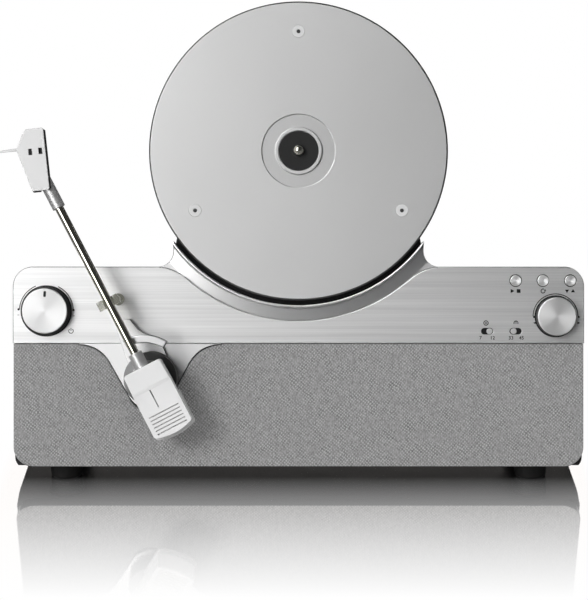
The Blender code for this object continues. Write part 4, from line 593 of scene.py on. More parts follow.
def brushed(name, level, rough):
    """Metal brushed along X: long fine streaks over broad faint ones."""
    fine_pitch, broad_pitch = (7, 1100, 1), (3, 210, 1)
    fine_share, broad_share = 0.42, 0.58
    duller, glossier = 0.02, -0.01
    made = surface(name, grey(level), rough, 0.92)
    tree = made.node_tree
    fine = noise(coords(tree, fine_pitch), 2.0)
    broad = noise(coords(tree, broad_pitch), 3.0, 0.6)
    both = plus(spread(fine, 0, fine_share), spread(broad, 0, broad_share))
    gloss = spread(both, rough + glossier, rough + duller, 0.0, 1.0)
    return finish(made, both, (0.85, 1.09), gloss, both, 0.00001, 0.2)


def grained(made, rough, grain, depth, detail, patch, tones, vary, strength):
    """An even tone with faint broad patches and a very fine grain."""
    tree = made.node_tree
    fine = noise(coords(tree, grey(grain)), detail)
    broad = noise(coords(tree, grey(patch)), 2.0)
    gloss = spread(fine, rough - vary, rough + vary)
    return finish(made, spread(broad, 0, 1), tones, gloss, fine, depth, strength)


def satin(name, colour, rough, metallic=1.0, depth=0.00001):
    """Blasted or painted metal."""
    made = surface(name, colour, rough, metallic)
    return grained(made, rough, 1400, depth, 2.0, 9, (0.975, 1.02), 0.03, 0.12)


def plastic(name, colour, rough, grain=1500, depth=0.00003, **more):
    made = surface(name, colour, rough, 0.0, **more)
    return grained(made, rough, grain, depth, 3.0, 20, (0.96, 1.04), 0.05, 0.25)


def spun(name, level, rough, anisotropy):
    """Metal turned about its own Z: fine rings, and a highlight that fans out from the middle."""
    duller, glossier, pitch = 0.04, -0.02, 3200
    made = surface(name, grey(level), rough, 1.0, Anisotropic=anisotropy, Anisotropic_Rotation=0.25)
    tree = made.node_tree
    reach = vector_maths("LENGTH", coords(tree, (1, 1, 0)), (0, 0, 0))
    along = node(tree, "ShaderNodeCombineXYZ", X=reach).outputs[0]
    rings = noise(along, 2.0, 0.6, pitch)
    tangent = tree.nodes.new("ShaderNodeTangent")
    tangent.direction_type = "RADIAL"
    tangent.axis = "Z"
    gloss = spread(rings, rough + glossier, rough + duller, 0.0, 1.0)
    return finish(made, rings, (0.93, 1.05), gloss, rings, 0.000008, 0.15, Tangent=tangent.outputs[0])


def cloth(name, level):
    """Speckled speaker cloth: two slanting thread directions, with slubs and dark pores."""
    warp_pitch, warp_turn = 190, radians(40)
    weft_pitch, weft_turn = 170, radians(-50)
    slub_pitch, slub_turn, slub_share = (1050, 470, 700), radians(42), 0.78
    patch_pitch, patch_shares = 110, (0.05, 0.6)
    mottle_pitch, mottle_share = 240, 0.04
    wobble, wobble_detail, wobble_pitch = 4.0, 2.0, 0.8
    mean = 0.25
    tones = (0.42, 1.58)
    made = surface(name, grey(level), 0.9, 0.0)
    tree = made.node_tree
    warp = bands(coords(tree, grey(warp_pitch), warp_turn), wobble, wobble_detail, wobble_pitch)
    weft = bands(coords(tree, grey(weft_pitch), weft_turn), wobble, wobble_detail, wobble_pitch)
    patches = noise(coords(tree, grey(patch_pitch)), 2.0)
    weave = minus(times(warp, weft), mean)
    weave = times(weave, spread(patches, *patch_shares))
    slubs = noise(coords(tree, slub_pitch, slub_turn), 3.0, 0.65)
    mottle = noise(coords(tree, grey(mottle_pitch)), 2.0)
    height = plus(weave, times(slubs, slub_share))
    tone = spread(height, 0.0, 0.9, 0.12, 0.67)
    tone = plus(tone, spread(mottle, -mottle_share, mottle_share))
    dark, light = (grey(level * share) for share in tones)
    drive(made, Base_Color=blend(tone, dark, light), Normal=bump(height, 0.0002, 0.5))
    return made


SMOOTH = {"grain": 900, "depth": 0.00001}
GLASSY = {"grain": 300, "depth": 0.00001, "Transmission_Weight": 0.75, "IOR": 1.49}

MATERIALS = {
    "fascia": brushed("brushed_fascia", 0.87, 0.385),
    "satin": satin("satin_metal", grey(0.85), 0.4),
    # Dark metal for painted shade on rounded edges, giving dark outlines
    "edge": satin("painted_shade_edge", grey(0.22), 0.35),
    # A darker copy of the platter metal, as painted shade in the platter's recess
    "recess": satin("recess_painted_shade", grey(0.6), 0.45),
    "platter": satin("platter_metal", grey(0.67), 0.45),
    "knob": spun("spun_knob", 0.78, 0.49, 0.4),
    "button": spun("spun_button", 0.88, 0.47, 0.45),
    "cloth": cloth("grille_cloth", 0.286),
    "chrome": satin("chrome", (0.9, 0.88, 0.78), 0.07, depth=0.000002),
    "bright": satin("bright_metal", grey(0.92), 0.36),
    "gunmetal": spun("spun_gunmetal", 0.2, 0.35, 0.92),
    "sleeve": satin("satin_sleeve", grey(0.6), 0.42, 0.75),
    "steel": satin("plain_steel", grey(0.5), 0.34),
    "brass": satin("brass", (0.72, 0.54, 0.24), 0.3),
    "black": plastic("black_shell", grey(0.016), 0.5, Specular_IOR_Level=0.2),
    "dark": plastic("dark_plastic", grey(0.03), 0.5),
    "white": plastic("white_plastic", grey(0.72), 0.42, **SMOOTH),
    # White plastic darkened as painted shade, for the block's base
    "under": plastic("shaded_white", grey(0.46), 0.45, **SMOOTH),
    # Grey for painted shade on the block's groove floors
    "groove": plastic("groove_painted_shade", grey(0.27), 0.6),
    "silver": satin("silver_paint", grey(0.65), 0.42, 0.3),
    "grey": plastic("switch_grey", grey(0.42), 0.4),
    "clear": plastic("clear_grey", (0.5, 0.505, 0.45), 0.08, **GLASSY),
    "pale_rubber": plastic("pale_rubber", grey(0.6), 0.5),
    "rubber": plastic("black_rubber", grey(0.01), 0.6, Specular_IOR_Level=0.1),
    "disc": plastic("centre_rubber", grey(0.01), 0.34),
    "board": plastic("circuit_board", (0.03, 0.14, 0.07), 0.4),
    # Black for print, and also for painted shade on walls, gaps, sunk parts and outlines
    "print_and_painted_shade": plastic("print_and_painted_shade", grey(0.016), 0.6, Specular_IOR_Level=0.15),
}

KEPT_LOOKS = {
    "steel": ["arm_yoke", "arm_chassis", "arm_carrier", "counterweight", "volume_shaft", "volume_encoder",
              "jog_encoder", "lift_actuator", "drive_motor", "arm_motor"],
    "brass": ["bearing_sleeve", "motor_pulley", "arm_bearing", "arm_gear", "arm_pinion"],
    "black": ["rear_housing", "neck_cover", "front_baffle", "sub_platter"],
    "dark": ["speaker_left", "speaker_right", "cartridge", "line_jacks", "dc_inlet"],
    "white": ["stylus"],
    "rubber": ["foot_front_left", "foot_front_right", "foot_back_left", "foot_back_right", "drive_belt"],
    "board": ["main_board", "control_board"],
}


def smoothing():
    """Faces shade smooth across every edge that bends little."""
    tree = bpy.data.node_groups.new("smooth_by_angle", "GeometryNodeTree")
    tree.interface.new_socket("Geometry", in_out="INPUT", socket_type="NodeSocketGeometry")
    tree.interface.new_socket("Geometry", in_out="OUTPUT", socket_type="NodeSocketGeometry")
    faces = node(tree, "GeometryNodeSetShadeSmooth", i0=node(tree, "NodeGroupInput").outputs[0])
    bend = node(tree, "GeometryNodeInputMeshEdgeAngle").outputs[0]
    less = node(tree, "FunctionNodeCompare", i0=bend, i1=SHARP)
    less.operation = "LESS_THAN"
    edges = node(tree, "GeometryNodeSetShadeSmooth", i0=faces.outputs[0], Shade_Smooth=less.outputs[0])
    edges.domain = "EDGE"
    node(tree, "NodeGroupOutput", i0=edges.outputs[0])
    return tree


SMOOTHING = smoothing()


def dress(name, look):
    """Gives a CAD node its material, and by modifiers alone soft edges and smooth rounds."""
    thing = NODES[name]
    thing.data.materials.clear()
    thing.data.materials.append(MATERIALS[look])
    thing.modifiers.new("Weld", "WELD").merge_threshold = LEAST
    flat = thing.modifiers.new("Flat", "DECIMATE")
    flat.decimate_type = "DISSOLVE"
    flat.angle_limit = FLAT
    soft = thing.modifiers.new("Edge", "BEVEL")
    soft.width = GAP
    soft.segments = 2
    soft.limit_method = "ANGLE"
    soft.angle_limit = SHARP
    thing.modifiers.new("Smooth", "NODES").node_group = SMOOTHING
    thing.modifiers.new("Weigh", "WEIGHTED_NORMAL").keep_sharp = True


def piece(name, mesh, at, look, body="body", stands_for=""):
    thing = added(name, mesh)
    thing.matrix_world = at
    mesh.materials.clear()
    mesh.materials.append(MATERIALS[look])
    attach(thing, body)
    if stands_for:
        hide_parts(stands_for)
    return thing


def steep(most):
    """Chooses the faces whose normal's share along Z is less than the given one."""
    return lambda at, normal: abs(normal.z) < most


def is_sunk(at, normal):
    return at.z < GAP


def paint(mesh, look, chosen):
    """Gives the faces for which chosen(centre, normal) holds a second material: here always painted shade, on
    edges, walls, gaps and hollows.
    """
    mesh.materials.append(MATERIALS[look])
    for face in mesh.polygons:
        if chosen(face.center, face.normal):
            face.material_index = len(mesh.materials) - 1


# Front panels

def tail_reach():
    return HORN_HALF_WIDTH + HORN_FILLET - HORN_FILLET * cos(HORN_TAIL_ANGLE)


def flare(extra, side):
    """From the body's top edge round into the collar's circle, on the right for side 1."""
    radius = COLLAR_RADIUS + extra
    touch = Vector((radius * sin(FLARE_ANGLE), SPINDLE[1] - radius * cos(FLARE_ANGLE)))
    along = Vector((cos(FLARE_ANGLE), sin(FLARE_ANGLE)))
    top = BODY_HEIGHT - HORN_TAIL - extra
    bend = touch + along * (top - touch.y) / along.y
    start = Vector((tail_reach() + extra, top))
    points = []
    for i in range(FLARE_STEPS):
        share = i / FLARE_STEPS
        point = start * (1 - share) ** 2 + bend * 2 * share * (1 - share) + touch * share**2
        points.append((point.x * side, point.y))
    return points


def bay_edge(extra):
    turn = pi / 2 - FLARE_ANGLE
    lower = arc(SPINDLE, COLLAR_RADIUS + extra, -turn, -pi + turn, FINE / 2)
    return flare(extra, 1) + lower + flare(extra, -1)[::-1]


def fascia_outline(extra):
    left, bottom, top = -BODY_HALF + extra, SEAM_HEIGHT + GAP / 2 + extra, BODY_HEIGHT - extra
    corner = FACE_CORNER - extra
    tail = tail_reach() + extra + GAP
    right_corner = arc((-left - corner, top - corner), corner, 0, pi / 2)
    left_corner = arc((left + corner, top - corner), corner, pi / 2, pi)
    edge = [(left, bottom), (-left, bottom), *right_corner, (tail, top)]
    return edge + bay_edge(extra + GAP / 2) + [(-tail, top), *left_corner]


def plinth_corners():
    top = SEAM_HEIGHT - GAP / 2
    start = top - PLINTH_TAIL
    drop = PLINTH_HALF_WIDTH / tan(PLINTH_SLOPE)
    tail = PLINTH_FLARE_RADIUS * tan((pi / 2 - PLINTH_SLOPE) / 2) + PLINTH_TAIL
    left, right = PLINTH_CENTRE - PLINTH_HALF_WIDTH, PLINTH_CENTRE + PLINTH_HALF_WIDTH
    return [
        (left - tail, top),
        (left - tail, start),
        (left, start, PLINTH_FLARE_RADIUS),
        (PLINTH_CENTRE, start - drop, PLINTH_NOSE_RADIUS),
        (right, start, PLINTH_FLARE_RADIUS),
        (right + tail, start),
        (right + tail, top),
    ]


def is_outer(at):
    """On the fascia's left and top edges, away from the collar: where dark metal is painted as painted shade
    on the rounding.
    """
    return at.x < FACE_CORNER - BODY_HALF or (at.y > BODY_HEIGHT - OUTER_BAND and abs(at.x) > tail_reach())


def make_fascia():
    outer = rounding(FASCIA_ROUND, 0.0, PANEL_BACK) + [(FASCIA_RIM, PANEL_BACK), (FASCIA_RIM, -FASCIA_SKIN)]
    opening = rounding(OPENING_ROUND, 0.0, -FASCIA_SKIN, 2)
    holes = [(VOLUME_SPOT, SHAFT_HOLE), (JOG_SPOT, SHAFT_HOLE), (STEM_SPOT, STEM_HOLE)]
    holes += [(spot, BUTTON_RADIUS + BUTTON_CLEARANCE) for spot in BUTTON_SPOTS.values()]
    walls = [(fascia_outline, outer)] + [(hole(*place), opening) for place in holes]
    half, high = SLOT_HALF
    for x, y, _ in SWITCH_SPOTS.values():
        walls.append((lambda extra, x=x, y=y: capsule((x, y), half + extra, high + extra), opening))
    mesh = slab("fascia", walls)
    piece("fascia", mesh, FACE, "fascia", stands_for="fascia_panel")
    # The rounding of the left and top edges is painted dark metal as painted shade.
    paint(mesh, "edge", lambda at, normal: abs(normal.z) < EDGE and is_outer(at))


def make_plinth():
    steps = rounding(PLINTH_EDGE, 0.0, PANEL_BACK)
    walls = [(shaped(plinth_corners()), steps), (hole(PIVOT, BEARING_BORE), [(0, 0.0), (0, PANEL_BACK)])]
    piece("plinth", slab("plinth", walls), FACE, "satin", stands_for="tonearm_plinth")


def make_grille():
    """The cloth front with its notch for the plinth, and its lower edge's downward faces painted black as
    painted shade under the body.
    """
    downward = -0.6
    top = SEAM_HEIGHT - GAP / 2
    notch = [(x, min(y, top), radius) for x, y, radius in inset(plinth_corners(), -NOTCH_GAP)[::-1]]
    half = BODY_HALF - GRILLE_INSET
    corners = [(-half, GRILLE_FOOT, FACE_CORNER), (half, GRILLE_FOOT, FACE_CORNER), (half, top)]
    corners += notch + [(-half, top)]
    mesh = slab("grille", [(shaped(corners), rounding(GRILLE_EDGE, -GRILLE_SINK, PANEL_BACK, 5))])
    piece("grille", mesh, FACE, "cloth", stands_for="speaker_grille")
    # Downward faces at the bottom are painted black as painted shade under the body.
    paint(mesh, "black", lambda at, normal: normal.y < downward and at.y < FACE_CORNER)


def bearing(x, y):
    """A face point's angle about the spindle, from straight down."""
    return atan2(x, SPINDLE[1] - y)


def collar_outline():
    """The outer line from horn to horn, and its points' section angles, fanned out over the horns."""
    foot = BODY_HEIGHT + HORN_FILLET
    middle = (HORN_HALF_WIDTH + HORN_FILLET, foot)
    right = arc(middle, HORN_FILLET, pi + HORN_TAIL_ANGLE, pi, 2 * FINE)
    fan = bearing(*right[-1]) - FAN_ANGLE
    turns = [FAN_ANGLE + fan * (i + 1) / len(right) for i in range(len(right))]
    tip = BODY_HEIGHT + HORN_RISE
    side = [(HORN_HALF_WIDTH, foot + (tip - foot) * i / HORN_STEPS) for i in range(1, HORN_STEPS + 1)]
    right += side
    turns += [bearing(*point) for point in side]
    left = [(-x, y) for x, y in right]
    lower = bay_edge(0.0)[::-1]
    lower_turns = [bearing(*point) for point in lower]
    for i in range(FLARE_STEPS):
        turn = FAN_ANGLE + (FLARE_ANGLE - FAN_ANGLE) * i / FLARE_STEPS
        lower_turns[i], lower_turns[-1 - i] = -turn, turn
    return left[::-1] + lower + right, [-turn for turn in turns[::-1]] + lower_turns + turns


def cove_height():
    """The cove's height as a function of the distance from the spindle."""
    slope = COLLAR_RADIUS - BAY_RADIUS - LIP_WIDTH
    start = (BAY_RADIUS + LIP_WIDTH, LIP_HEIGHT)
    bend = (start[0] + slope * COVE_BEND_SHARE, LIP_HEIGHT * COVE_FOOT_SHARE, COVE_ROUND)
    cove = [Vector(point) for point in rounded([start, bend, (COLLAR_RADIUS, 0.0)])]

    def height(radius):
        for first, last in zip(cove, cove[1:]):
            if radius <= last.x:
                return first.y + (last.y - first.y) * (radius - first.x) / (last.x - first.x)
        return 0.0

    return height


def make_collar():
    """The collar as cross-sections from the lip out to the outline."""
    height = cove_height()
    inner_share, outer_share, narrow_share = 0.3, 0.25, 1.2
    inner, high = LIP_ROUND * inner_share, LIP_HEIGHT - LIP_ROUND
    lip = [(0.0, PANEL_BACK), (0.0, high), (inner, LIP_HEIGHT - inner), (LIP_ROUND, LIP_HEIGHT)]
    lip += [(LIP_WIDTH - LIP_ROUND, LIP_HEIGHT), (LIP_WIDTH, LIP_HEIGHT - LIP_ROUND * outer_share)]
    points, faces, smooth = [], [], []
    section = len(lip) + COVE_STEPS + 2
    outline, turns = collar_outline()
    for spot, turn in zip(outline, turns):
        outer = Vector(spot) - Vector(SPINDLE)
        heading = Vector((sin(turn), -cos(turn)))
        narrow = min(1.0, (outer.length - BAY_RADIUS) / (narrow_share * LIP_WIDTH))
        ring = [(heading * (BAY_RADIUS + w * narrow), z) for w, z in lip]
        begin = ring[-1][0]
        away = outer - begin
        shelf = away - away.normalized() * min(HORN_EDGE, away.length / 2)
        for i in range(1, COVE_STEPS + 1):
            place = begin + shelf * (i / COVE_STEPS)
            ring.append((place, max(0.0, min(height(place.length), ring[-1][1]))))
        ring += [(outer, ring[-1][1] - HORN_EDGE), (outer, PANEL_BACK)]
        points += [(place.x, place.y, z) for place, z in ring]
    for k in range(len(outline) - 1):
        for i in range(section):
            j = (i + 1) % section
            a, b = k * section, (k + 1) * section
            faces.append((a + i, a + j, b + j, b + i))
            smooth.append(i != section - 1)
    for first in (0, (len(outline) - 1) * section):
        faces.append(tuple(range(first, first + section)))
        smooth.append(False)
    mesh = meshed("collar", points, faces, smooth)
    piece("collar", mesh, PLATTER, "satin", stands_for="platter_surround")
    # The chamfer strip along the horns' outline is painted black as painted shade, a dark outline line.
    mesh.materials.append(MATERIALS["print_and_painted_shade"])
    for face in mesh.polygons:
        if face.index % section == section - 3 and face.center.y > BODY_HEIGHT - SPINDLE[1]:
            face.material_index = len(mesh.materials) - 1


def make_platter():
    """The disc with its recess and ring, three pads, the centre rubber and the spindle."""
    crisp, soft, back_round, rim_round = 0.00015, 0.0003, 0.0004, 0.0005
    pad_round, pad_play = 0.0006, 0.00005
    hair = 0.0001
    bore = SPINDLE_RADIUS + GAP / 2
    seat = DISC_RADIUS + GAP
    hollow = PLATTER_RADIUS - PLATTER_RIM
    corners = [
        (bore, LABEL_FLOOR), (seat, LABEL_FLOOR), (seat, RING_TOP, crisp),
        (RING_RADIUS, RING_TOP, soft), (RING_RADIUS, LABEL_FLOOR, soft),
        (LABEL_RADIUS, LABEL_FLOOR, soft), (LABEL_RADIUS, PLATTER_FACE, soft),
        (PLATTER_RADIUS - PLATTER_BEVEL, PLATTER_FACE, rim_round),
        (PLATTER_RADIUS, PLATTER_FACE - PLATTER_BEVEL, rim_round),
        (PLATTER_RADIUS, PLATTER_BACK, back_round), (hollow, PLATTER_BACK, back_round),
        (hollow, PLATTER_UNDER), (bore, PLATTER_UNDER),
    ]
    floor = PLATTER_FACE - PAD_DEPTH
    turns = [pi / 2 + i * tau / 3 for i in range(3)]
    spots = [(PAD_CIRCLE * cos(turn), PAD_CIRCLE * sin(turn)) for turn in turns]
    seats = [slab("seat", [(hole(spot, PAD_RADIUS + pad_play), [(0, CUT), (0, floor)])]) for spot in spots]
    disc = carved(lathe("disc", corners, 160, bore=True), seats)
    piece("platter_disc", disc, PLATTER, "platter", "platter", "platter")
    # The rim's steep band is painted dark metal as painted shade on the bevel.
    paint(disc, "edge", lambda at, normal: abs(normal.z) < EDGE and at.xy.length > PLATTER_RADIUS - RIM_BAND)
    # The recess between the ring and the label's edge gets the darker copy of the platter metal as painted
    # shade.
    high = PLATTER_FACE
    paint(disc, "recess", lambda at, normal: RING_RADIUS < at.xy.length < LABEL_RADIUS and at.z < high)

    low = floor + GAP
    ring = [(PAD_HOLE, RING_TOP, soft), (PAD_RADIUS, RING_TOP, pad_round)]
    ring += [(PAD_RADIUS, low), (PAD_HOLE, low)]
    head = tube(0, PAD_HOLE - hair, RING_TOP - 9 * hair, floor, 2 * hair, dome=2 * hair)
    for i, spot in enumerate(spots):
        at = shifted(PLATTER, *spot)
        mesh = lathe("pad", ring, 48, bore=True)
        piece(f"pad_ring_{i + 1}", mesh, at, "pale_rubber", "platter", f"record_pad_{i + 1}")
        piece(f"pad_screw_{i + 1}", lathe("head", head, 24), at, "dark", "platter")

    low = LABEL_FLOOR + GAP
    rubber = [(bore, DISC_TOP - hair, 2 * hair), (DISC_RADIUS, DISC_TOP, soft)]
    rubber += [(DISC_RADIUS, low), (bore, low)]
    mesh = lathe("rubber", rubber, 96, bore=True)
    piece("centre_rubber", mesh, PLATTER, "disc", "platter", "centre_disc")
    nose_share = 0.97
    pin = tube(0, SPINDLE_RADIUS, SPINDLE_NOSE, SPINDLE_TAIL, SPINDLE_RADIUS * nose_share, soft)
    piece("spindle_pin", lathe("pin", pin, 64), PLATTER, "chrome", "platter", "spindle")


# Controls

def make_knob(name, spot, lift, skirt, face, travel):
    """A hollow cap whose side wall is painted black as painted shade, and under it a black foot that stands
    in for the shadow gap, seen as a thin dark outline.
    """
    wall, hub, crown, edge = 0.002, 0.0052, 0.0007, 0.0003
    foot_bore, outline, hair = 0.0055, 0.0007, 0.0001
    at = shifted(FACE, *spot)
    body = f"{name}_knob"
    top = lift + KNOB_HEIGHT
    inside = top - wall
    corners = [(0, top), (face, top, crown), (skirt, lift, edge), (skirt - wall, lift)]
    corners += [(face - wall, inside), (hub, inside), (hub, lift), (0, lift)]
    mesh = lathe("cap", corners, 128)
    piece(f"{name}_cap", mesh, at, "knob", body, body)
    # The cap's side wall is painted black as painted shade.
    paint(mesh, "print_and_painted_shade", steep(WALL))
    # The black foot is a painted shadow: the dark gap under the skirt.
    foot = tube(foot_bore, skirt + outline, lift - hair, travel + hair, hair)
    piece(f"{name}_foot", lathe("foot", foot, 96, bore=True), at, "print_and_painted_shade", body)


def make_volume_mark():
    half, length, corner, lean = 0.0009, 0.0042, 0.0007, radians(-4)
    rise, sink = 0.00005, 0.0001
    top = KNOBS["volume"]["lift"] + KNOB_HEIGHT
    mark = rounded(rectangle(-half, 0.0, half, length, corner), 5 * FINE)
    mesh = slab("mark", [(fixed(mark), [(0, top + rise), (0, top - sink)])])
    x, y = on_face(*KNOB_MARK)
    at = shifted(FACE, x, y - length / 2) @ Matrix.Rotation(lean, 4, "Z")
    piece("volume_mark", mesh, at, "print_and_painted_shade", "volume_knob")


def make_button(name, spot):
    """A dished cap, with its flange and foot behind the fascia."""
    dish, edge, flange, thickness, foot, tail = 0.00025, 0.0004, 0.0008, 0.0016, 0.002, -0.005
    body = f"{name}_button"
    seat = -FASCIA_SKIN - GAP
    low = seat - thickness
    wide = BUTTON_RADIUS + flange
    corners = [(0, BUTTON_RISE - dish), (BUTTON_RADIUS, BUTTON_RISE, edge), (BUTTON_RADIUS, seat)]
    corners += [(wide, seat), (wide, low), (foot, low), (foot, tail), (0, tail)]
    mesh = lathe("cap", corners, 64)
    piece(f"{name}_cap", mesh, shifted(FACE, *spot), "button", body, body)
    # The cap below the fascia's face is painted black as painted shade in the gap round the button.
    paint(mesh, "print_and_painted_shade", is_sunk)


def make_switch(name, x, y, side):
    """A round thumb on a slide, with the slide and its foot behind the fascia."""
    half_width, half_height, thickness, edge = 0.0066, 0.0032, 0.0014, 0.0002
    thumb_radius, rise, crown = 0.0021, 0.0008, 0.0004
    foot_radius, tail, root = 0.002, -0.0058, 0.0004
    body = f"{name}_switch"
    seat = -FASCIA_SKIN - GAP
    low = seat - thickness
    slide = brick("slide", (-half_width, -half_height, low), (half_width, half_height, seat), edge)
    thumb = lathe("thumb", tube(0, thumb_radius, rise, low + root, crown), 48)
    foot = lathe("foot", tube(0, foot_radius, low + root, tail), 32)
    mesh = carved(slide, [thumb, foot], "UNION")
    at = shifted(FACE, x + side * SWITCH_OFFSET, y)
    piece(f"{name}_slide", mesh, at, "grey", body, body)
    # The slide below the fascia's face is painted black as painted shade in the slot.
    paint(mesh, "print_and_painted_shade", is_sunk)


def make_controls():
    make_knob("volume", **KNOBS["volume"])
    make_volume_mark()
    make_knob("jog", **KNOBS["jog"])
    for name, spot in BUTTON_SPOTS.items():
        make_button(name, spot)
    for name, place in SWITCH_SPOTS.items():
        make_switch(name, *place)


# Tonearm

def make_drum():
    crown, foot = 0.0005, 0.0003
    corners = [(BEARING_BORE, DRUM_HEIGHT), (DRUM_TOP_RADIUS, DRUM_HEIGHT, crown)]
    corners += [(DRUM_RADIUS, GAP, foot), (BEARING_BORE, GAP)]
    mesh = lathe("drum", corners, 96, bore=True)
    piece("drum", mesh, shifted(FACE, *PIVOT), "gunmetal", "body", "tonearm_base")


def make_rail():
    """The cue rail: a bar bent round a point beside the pivot, on a stem through the fascia."""
    radius, half, depth, edge, shift = 0.028, 0.0027, 0.005, 0.0008, 0.0033
    first, last = radians(59), radians(119)
    stem_radius, stem_edge, root, tail = 0.0016, 0.0002, 0.001, -0.015
    centre = (PIVOT[0] - shift, PIVOT[1])
    high = ARM_LEVEL - TUBE_RADIUS - GAP
    low = high - depth

    def outline(extra):
        start, end = first + extra / radius, last - extra / radius
        step = (end - start) / 20
        outer = arc(centre, radius + half - extra, start, end, step)
        return outer + arc(centre, radius - half + extra, end, start, step)

    stem = lathe("stem", tube(0, stem_radius, low + root, tail, 0.0, stem_edge), 40)
    stem = moved(stem, Matrix.Translation((*STEM_SPOT, 0)))
    mesh = carved(slab("rail", [(outline, rounding_both(edge, high, low))]), [stem], "UNION")
    piece("cue_rail", mesh, FACE, "bright", "lift_rail", "lift_rail")
    # The rounded edges are painted dark metal as painted shade, for dark outlines.
    paint(mesh, "edge", steep(ROUND))


def make_bracket():
    """The wedge plate under the rail, cut out for the stem and the drum."""
    top, edge_share = 0.0043, 0.6
    corners = [(PIVOT[0] + x, PIVOT[1] + y, radius) for x, y, radius in BRACKET_CORNERS]
    mesh = slab("bracket", [(shaped(corners), rounding(EDGE_ROUND, top, GAP))])
    holes = [(STEM_SPOT, STEM_HOLE), (PIVOT, DRUM_RADIUS + GAP)]
    mesh = carved(mesh, [slab("hole", [(hole(*place), [(0, CUT), (0, -CUT)])]) for place in holes])
    piece("cue_bracket", mesh, FACE, "satin", "body", "lift_bracket")
    # The edges are painted dark metal as painted shade, for thin dark outlines.
    paint(mesh, "edge", steep(edge_share))


def make_rest():
    """The clip beside the tube: a cradle with one high lip, on a post with a wider foot."""
    play, thickness, left_wall, right_wall, lip = 0.0016, 0.003, 0.0045, 0.004, 0.0025
    half, edge, soft = 0.0033, 0.0003, 0.0004
    post_radius, foot_radius, foot_top, root = 0.003, 0.0042, 0.0023, 0.0015
    low_lip = ARM_LEVEL - TUBE_RADIUS - GAP
    floor = ARM_LEVEL - TUBE_RADIUS - play
    base = floor - thickness
    high = ARM_LEVEL + lip
    inside = TUBE_RADIUS + GAP
    left, right = -inside - left_wall, inside + right_wall
    corners = [
        (left, base, 1.5 * soft), (right, base, 3 * soft), (right, low_lip, 2 * soft),
        (inside, low_lip, soft), (inside, floor, soft), (-inside, floor, soft),
        (-inside, high, 2.5 * soft), (left, high, 2.5 * soft),
    ]
    cradle = slab("cradle", [(shaped(corners, 5 * FINE), rounding_both(edge, half, -half, 2))])
    across, along = REST_SPOT
    cradle = moved(cradle, Matrix.Translation((0, along, 0)) @ Matrix.Rotation(pi / 2, 4, "X"))
    post = [(0, base + root), (post_radius, base + root), (post_radius, foot_top, soft)]
    post += [(foot_radius, foot_top, edge + soft / 2), (foot_radius, GAP, soft / 2), (0, GAP)]
    post = moved(lathe("post", post, 48), Matrix.Translation((across, along, 0)))
    piece("rest_cradle", carved(cradle, [post], "UNION"), ARM, "clear", "body", "arm_rest")


def block_corners():
    """The white block's outline: a bowed tail, straight sides and a front that narrows a little."""
    half, tail, sagitta, corner = 0.0143, -0.0401, 0.0028, 0.0018
    front_half, front, front_corner = 0.0138, 0.0097, 0.0022
    radius = (half**2 + sagitta**2) / (2 * sagitta)
    turn = asin(half / radius)
    bow = arc((0, radius + tail), radius, -pi / 2 - turn, -pi / 2 + turn, FINE)
    corners = [(x, y) for x, y in bow if abs(x) < half - corner]
    corners = [(*bow[0], corner), *corners, (*bow[-1], corner), (half, -BLOCK_WAIST)]
    corners += [(side * front_half, front, front_corner) for side in (1, -1)]
    return corners + [(-half, -BLOCK_WAIST)]


def make_block_cover():
    """The hollow cover: a step down to the tail, six grooves across it, a long mark and the tube's bore."""
    skin, edge, depth, width, round_share = 0.002, 0.001, 0.0009, 0.0008, 0.3
    ribs, rib_half, rib_first, rib_span = 6, 0.0112, -0.0235, -0.0126
    mark, mark_low, mark_high = -0.0018, -0.0198, -0.0064
    reach, slope, over, bore_play, painted = 0.03, 0.0014, 0.0001, 0.0002, 0.0125
    steps = rounding(edge, BLOCK_TOP, BLOCK_BOTTOM) + [(skin, BLOCK_BOTTOM), (skin, BLOCK_TOP - skin)]
    cover = slab("cover", [(shaped(block_corners()), steps)])

    low = BLOCK_TOP - BLOCK_STEP
    floor = low - depth
    half = width / 2
    grooves = [(mark - half, mark_low, mark + half, mark_high)]
    for i in range(ribs):
        along = rib_first + rib_span * i / (ribs - 1)
        grooves.append((-rib_half, along - half, rib_half, along + half))
    ends = [shaped(rectangle(*groove, width * round_share), 6 * FINE) for groove in grooves]
    cutters = [slab("groove", [(outline, [(0, CUT), (0, floor)])]) for outline in ends]

    near, far = -BLOCK_WAIST + slope, -BLOCK_WAIST - slope
    step = [(-2 * reach, low), (far, low), (near, BLOCK_TOP + over), (near, reach), (-2 * reach, reach)]
    upright = Matrix(((0, 0, 1, 0), (1, 0, 0, 0), (0, 1, 0, 0), (0, 0, 0, 1)))
    cutters.append(moved(slab("step", [(fixed(step), [(0, reach), (0, -reach)])]), upright))
    bore = lathe("bore", tube(0, SLEEVES["lower"][0] + bore_play, CUT, 0.0), 48)
    cutters.append(moved(bore, Matrix.Rotation(-pi / 2, 4, "X")))
    mesh = carved(cover, cutters)
    piece("block_cover", mesh, TILT, "white", "tonearm", "counterweight_cover")
    # The grooves' floors are painted grey as painted shade in the grooves.
    paint(mesh, "groove", lambda at, normal: abs(at.z - floor) < over and abs(at.x) < painted)


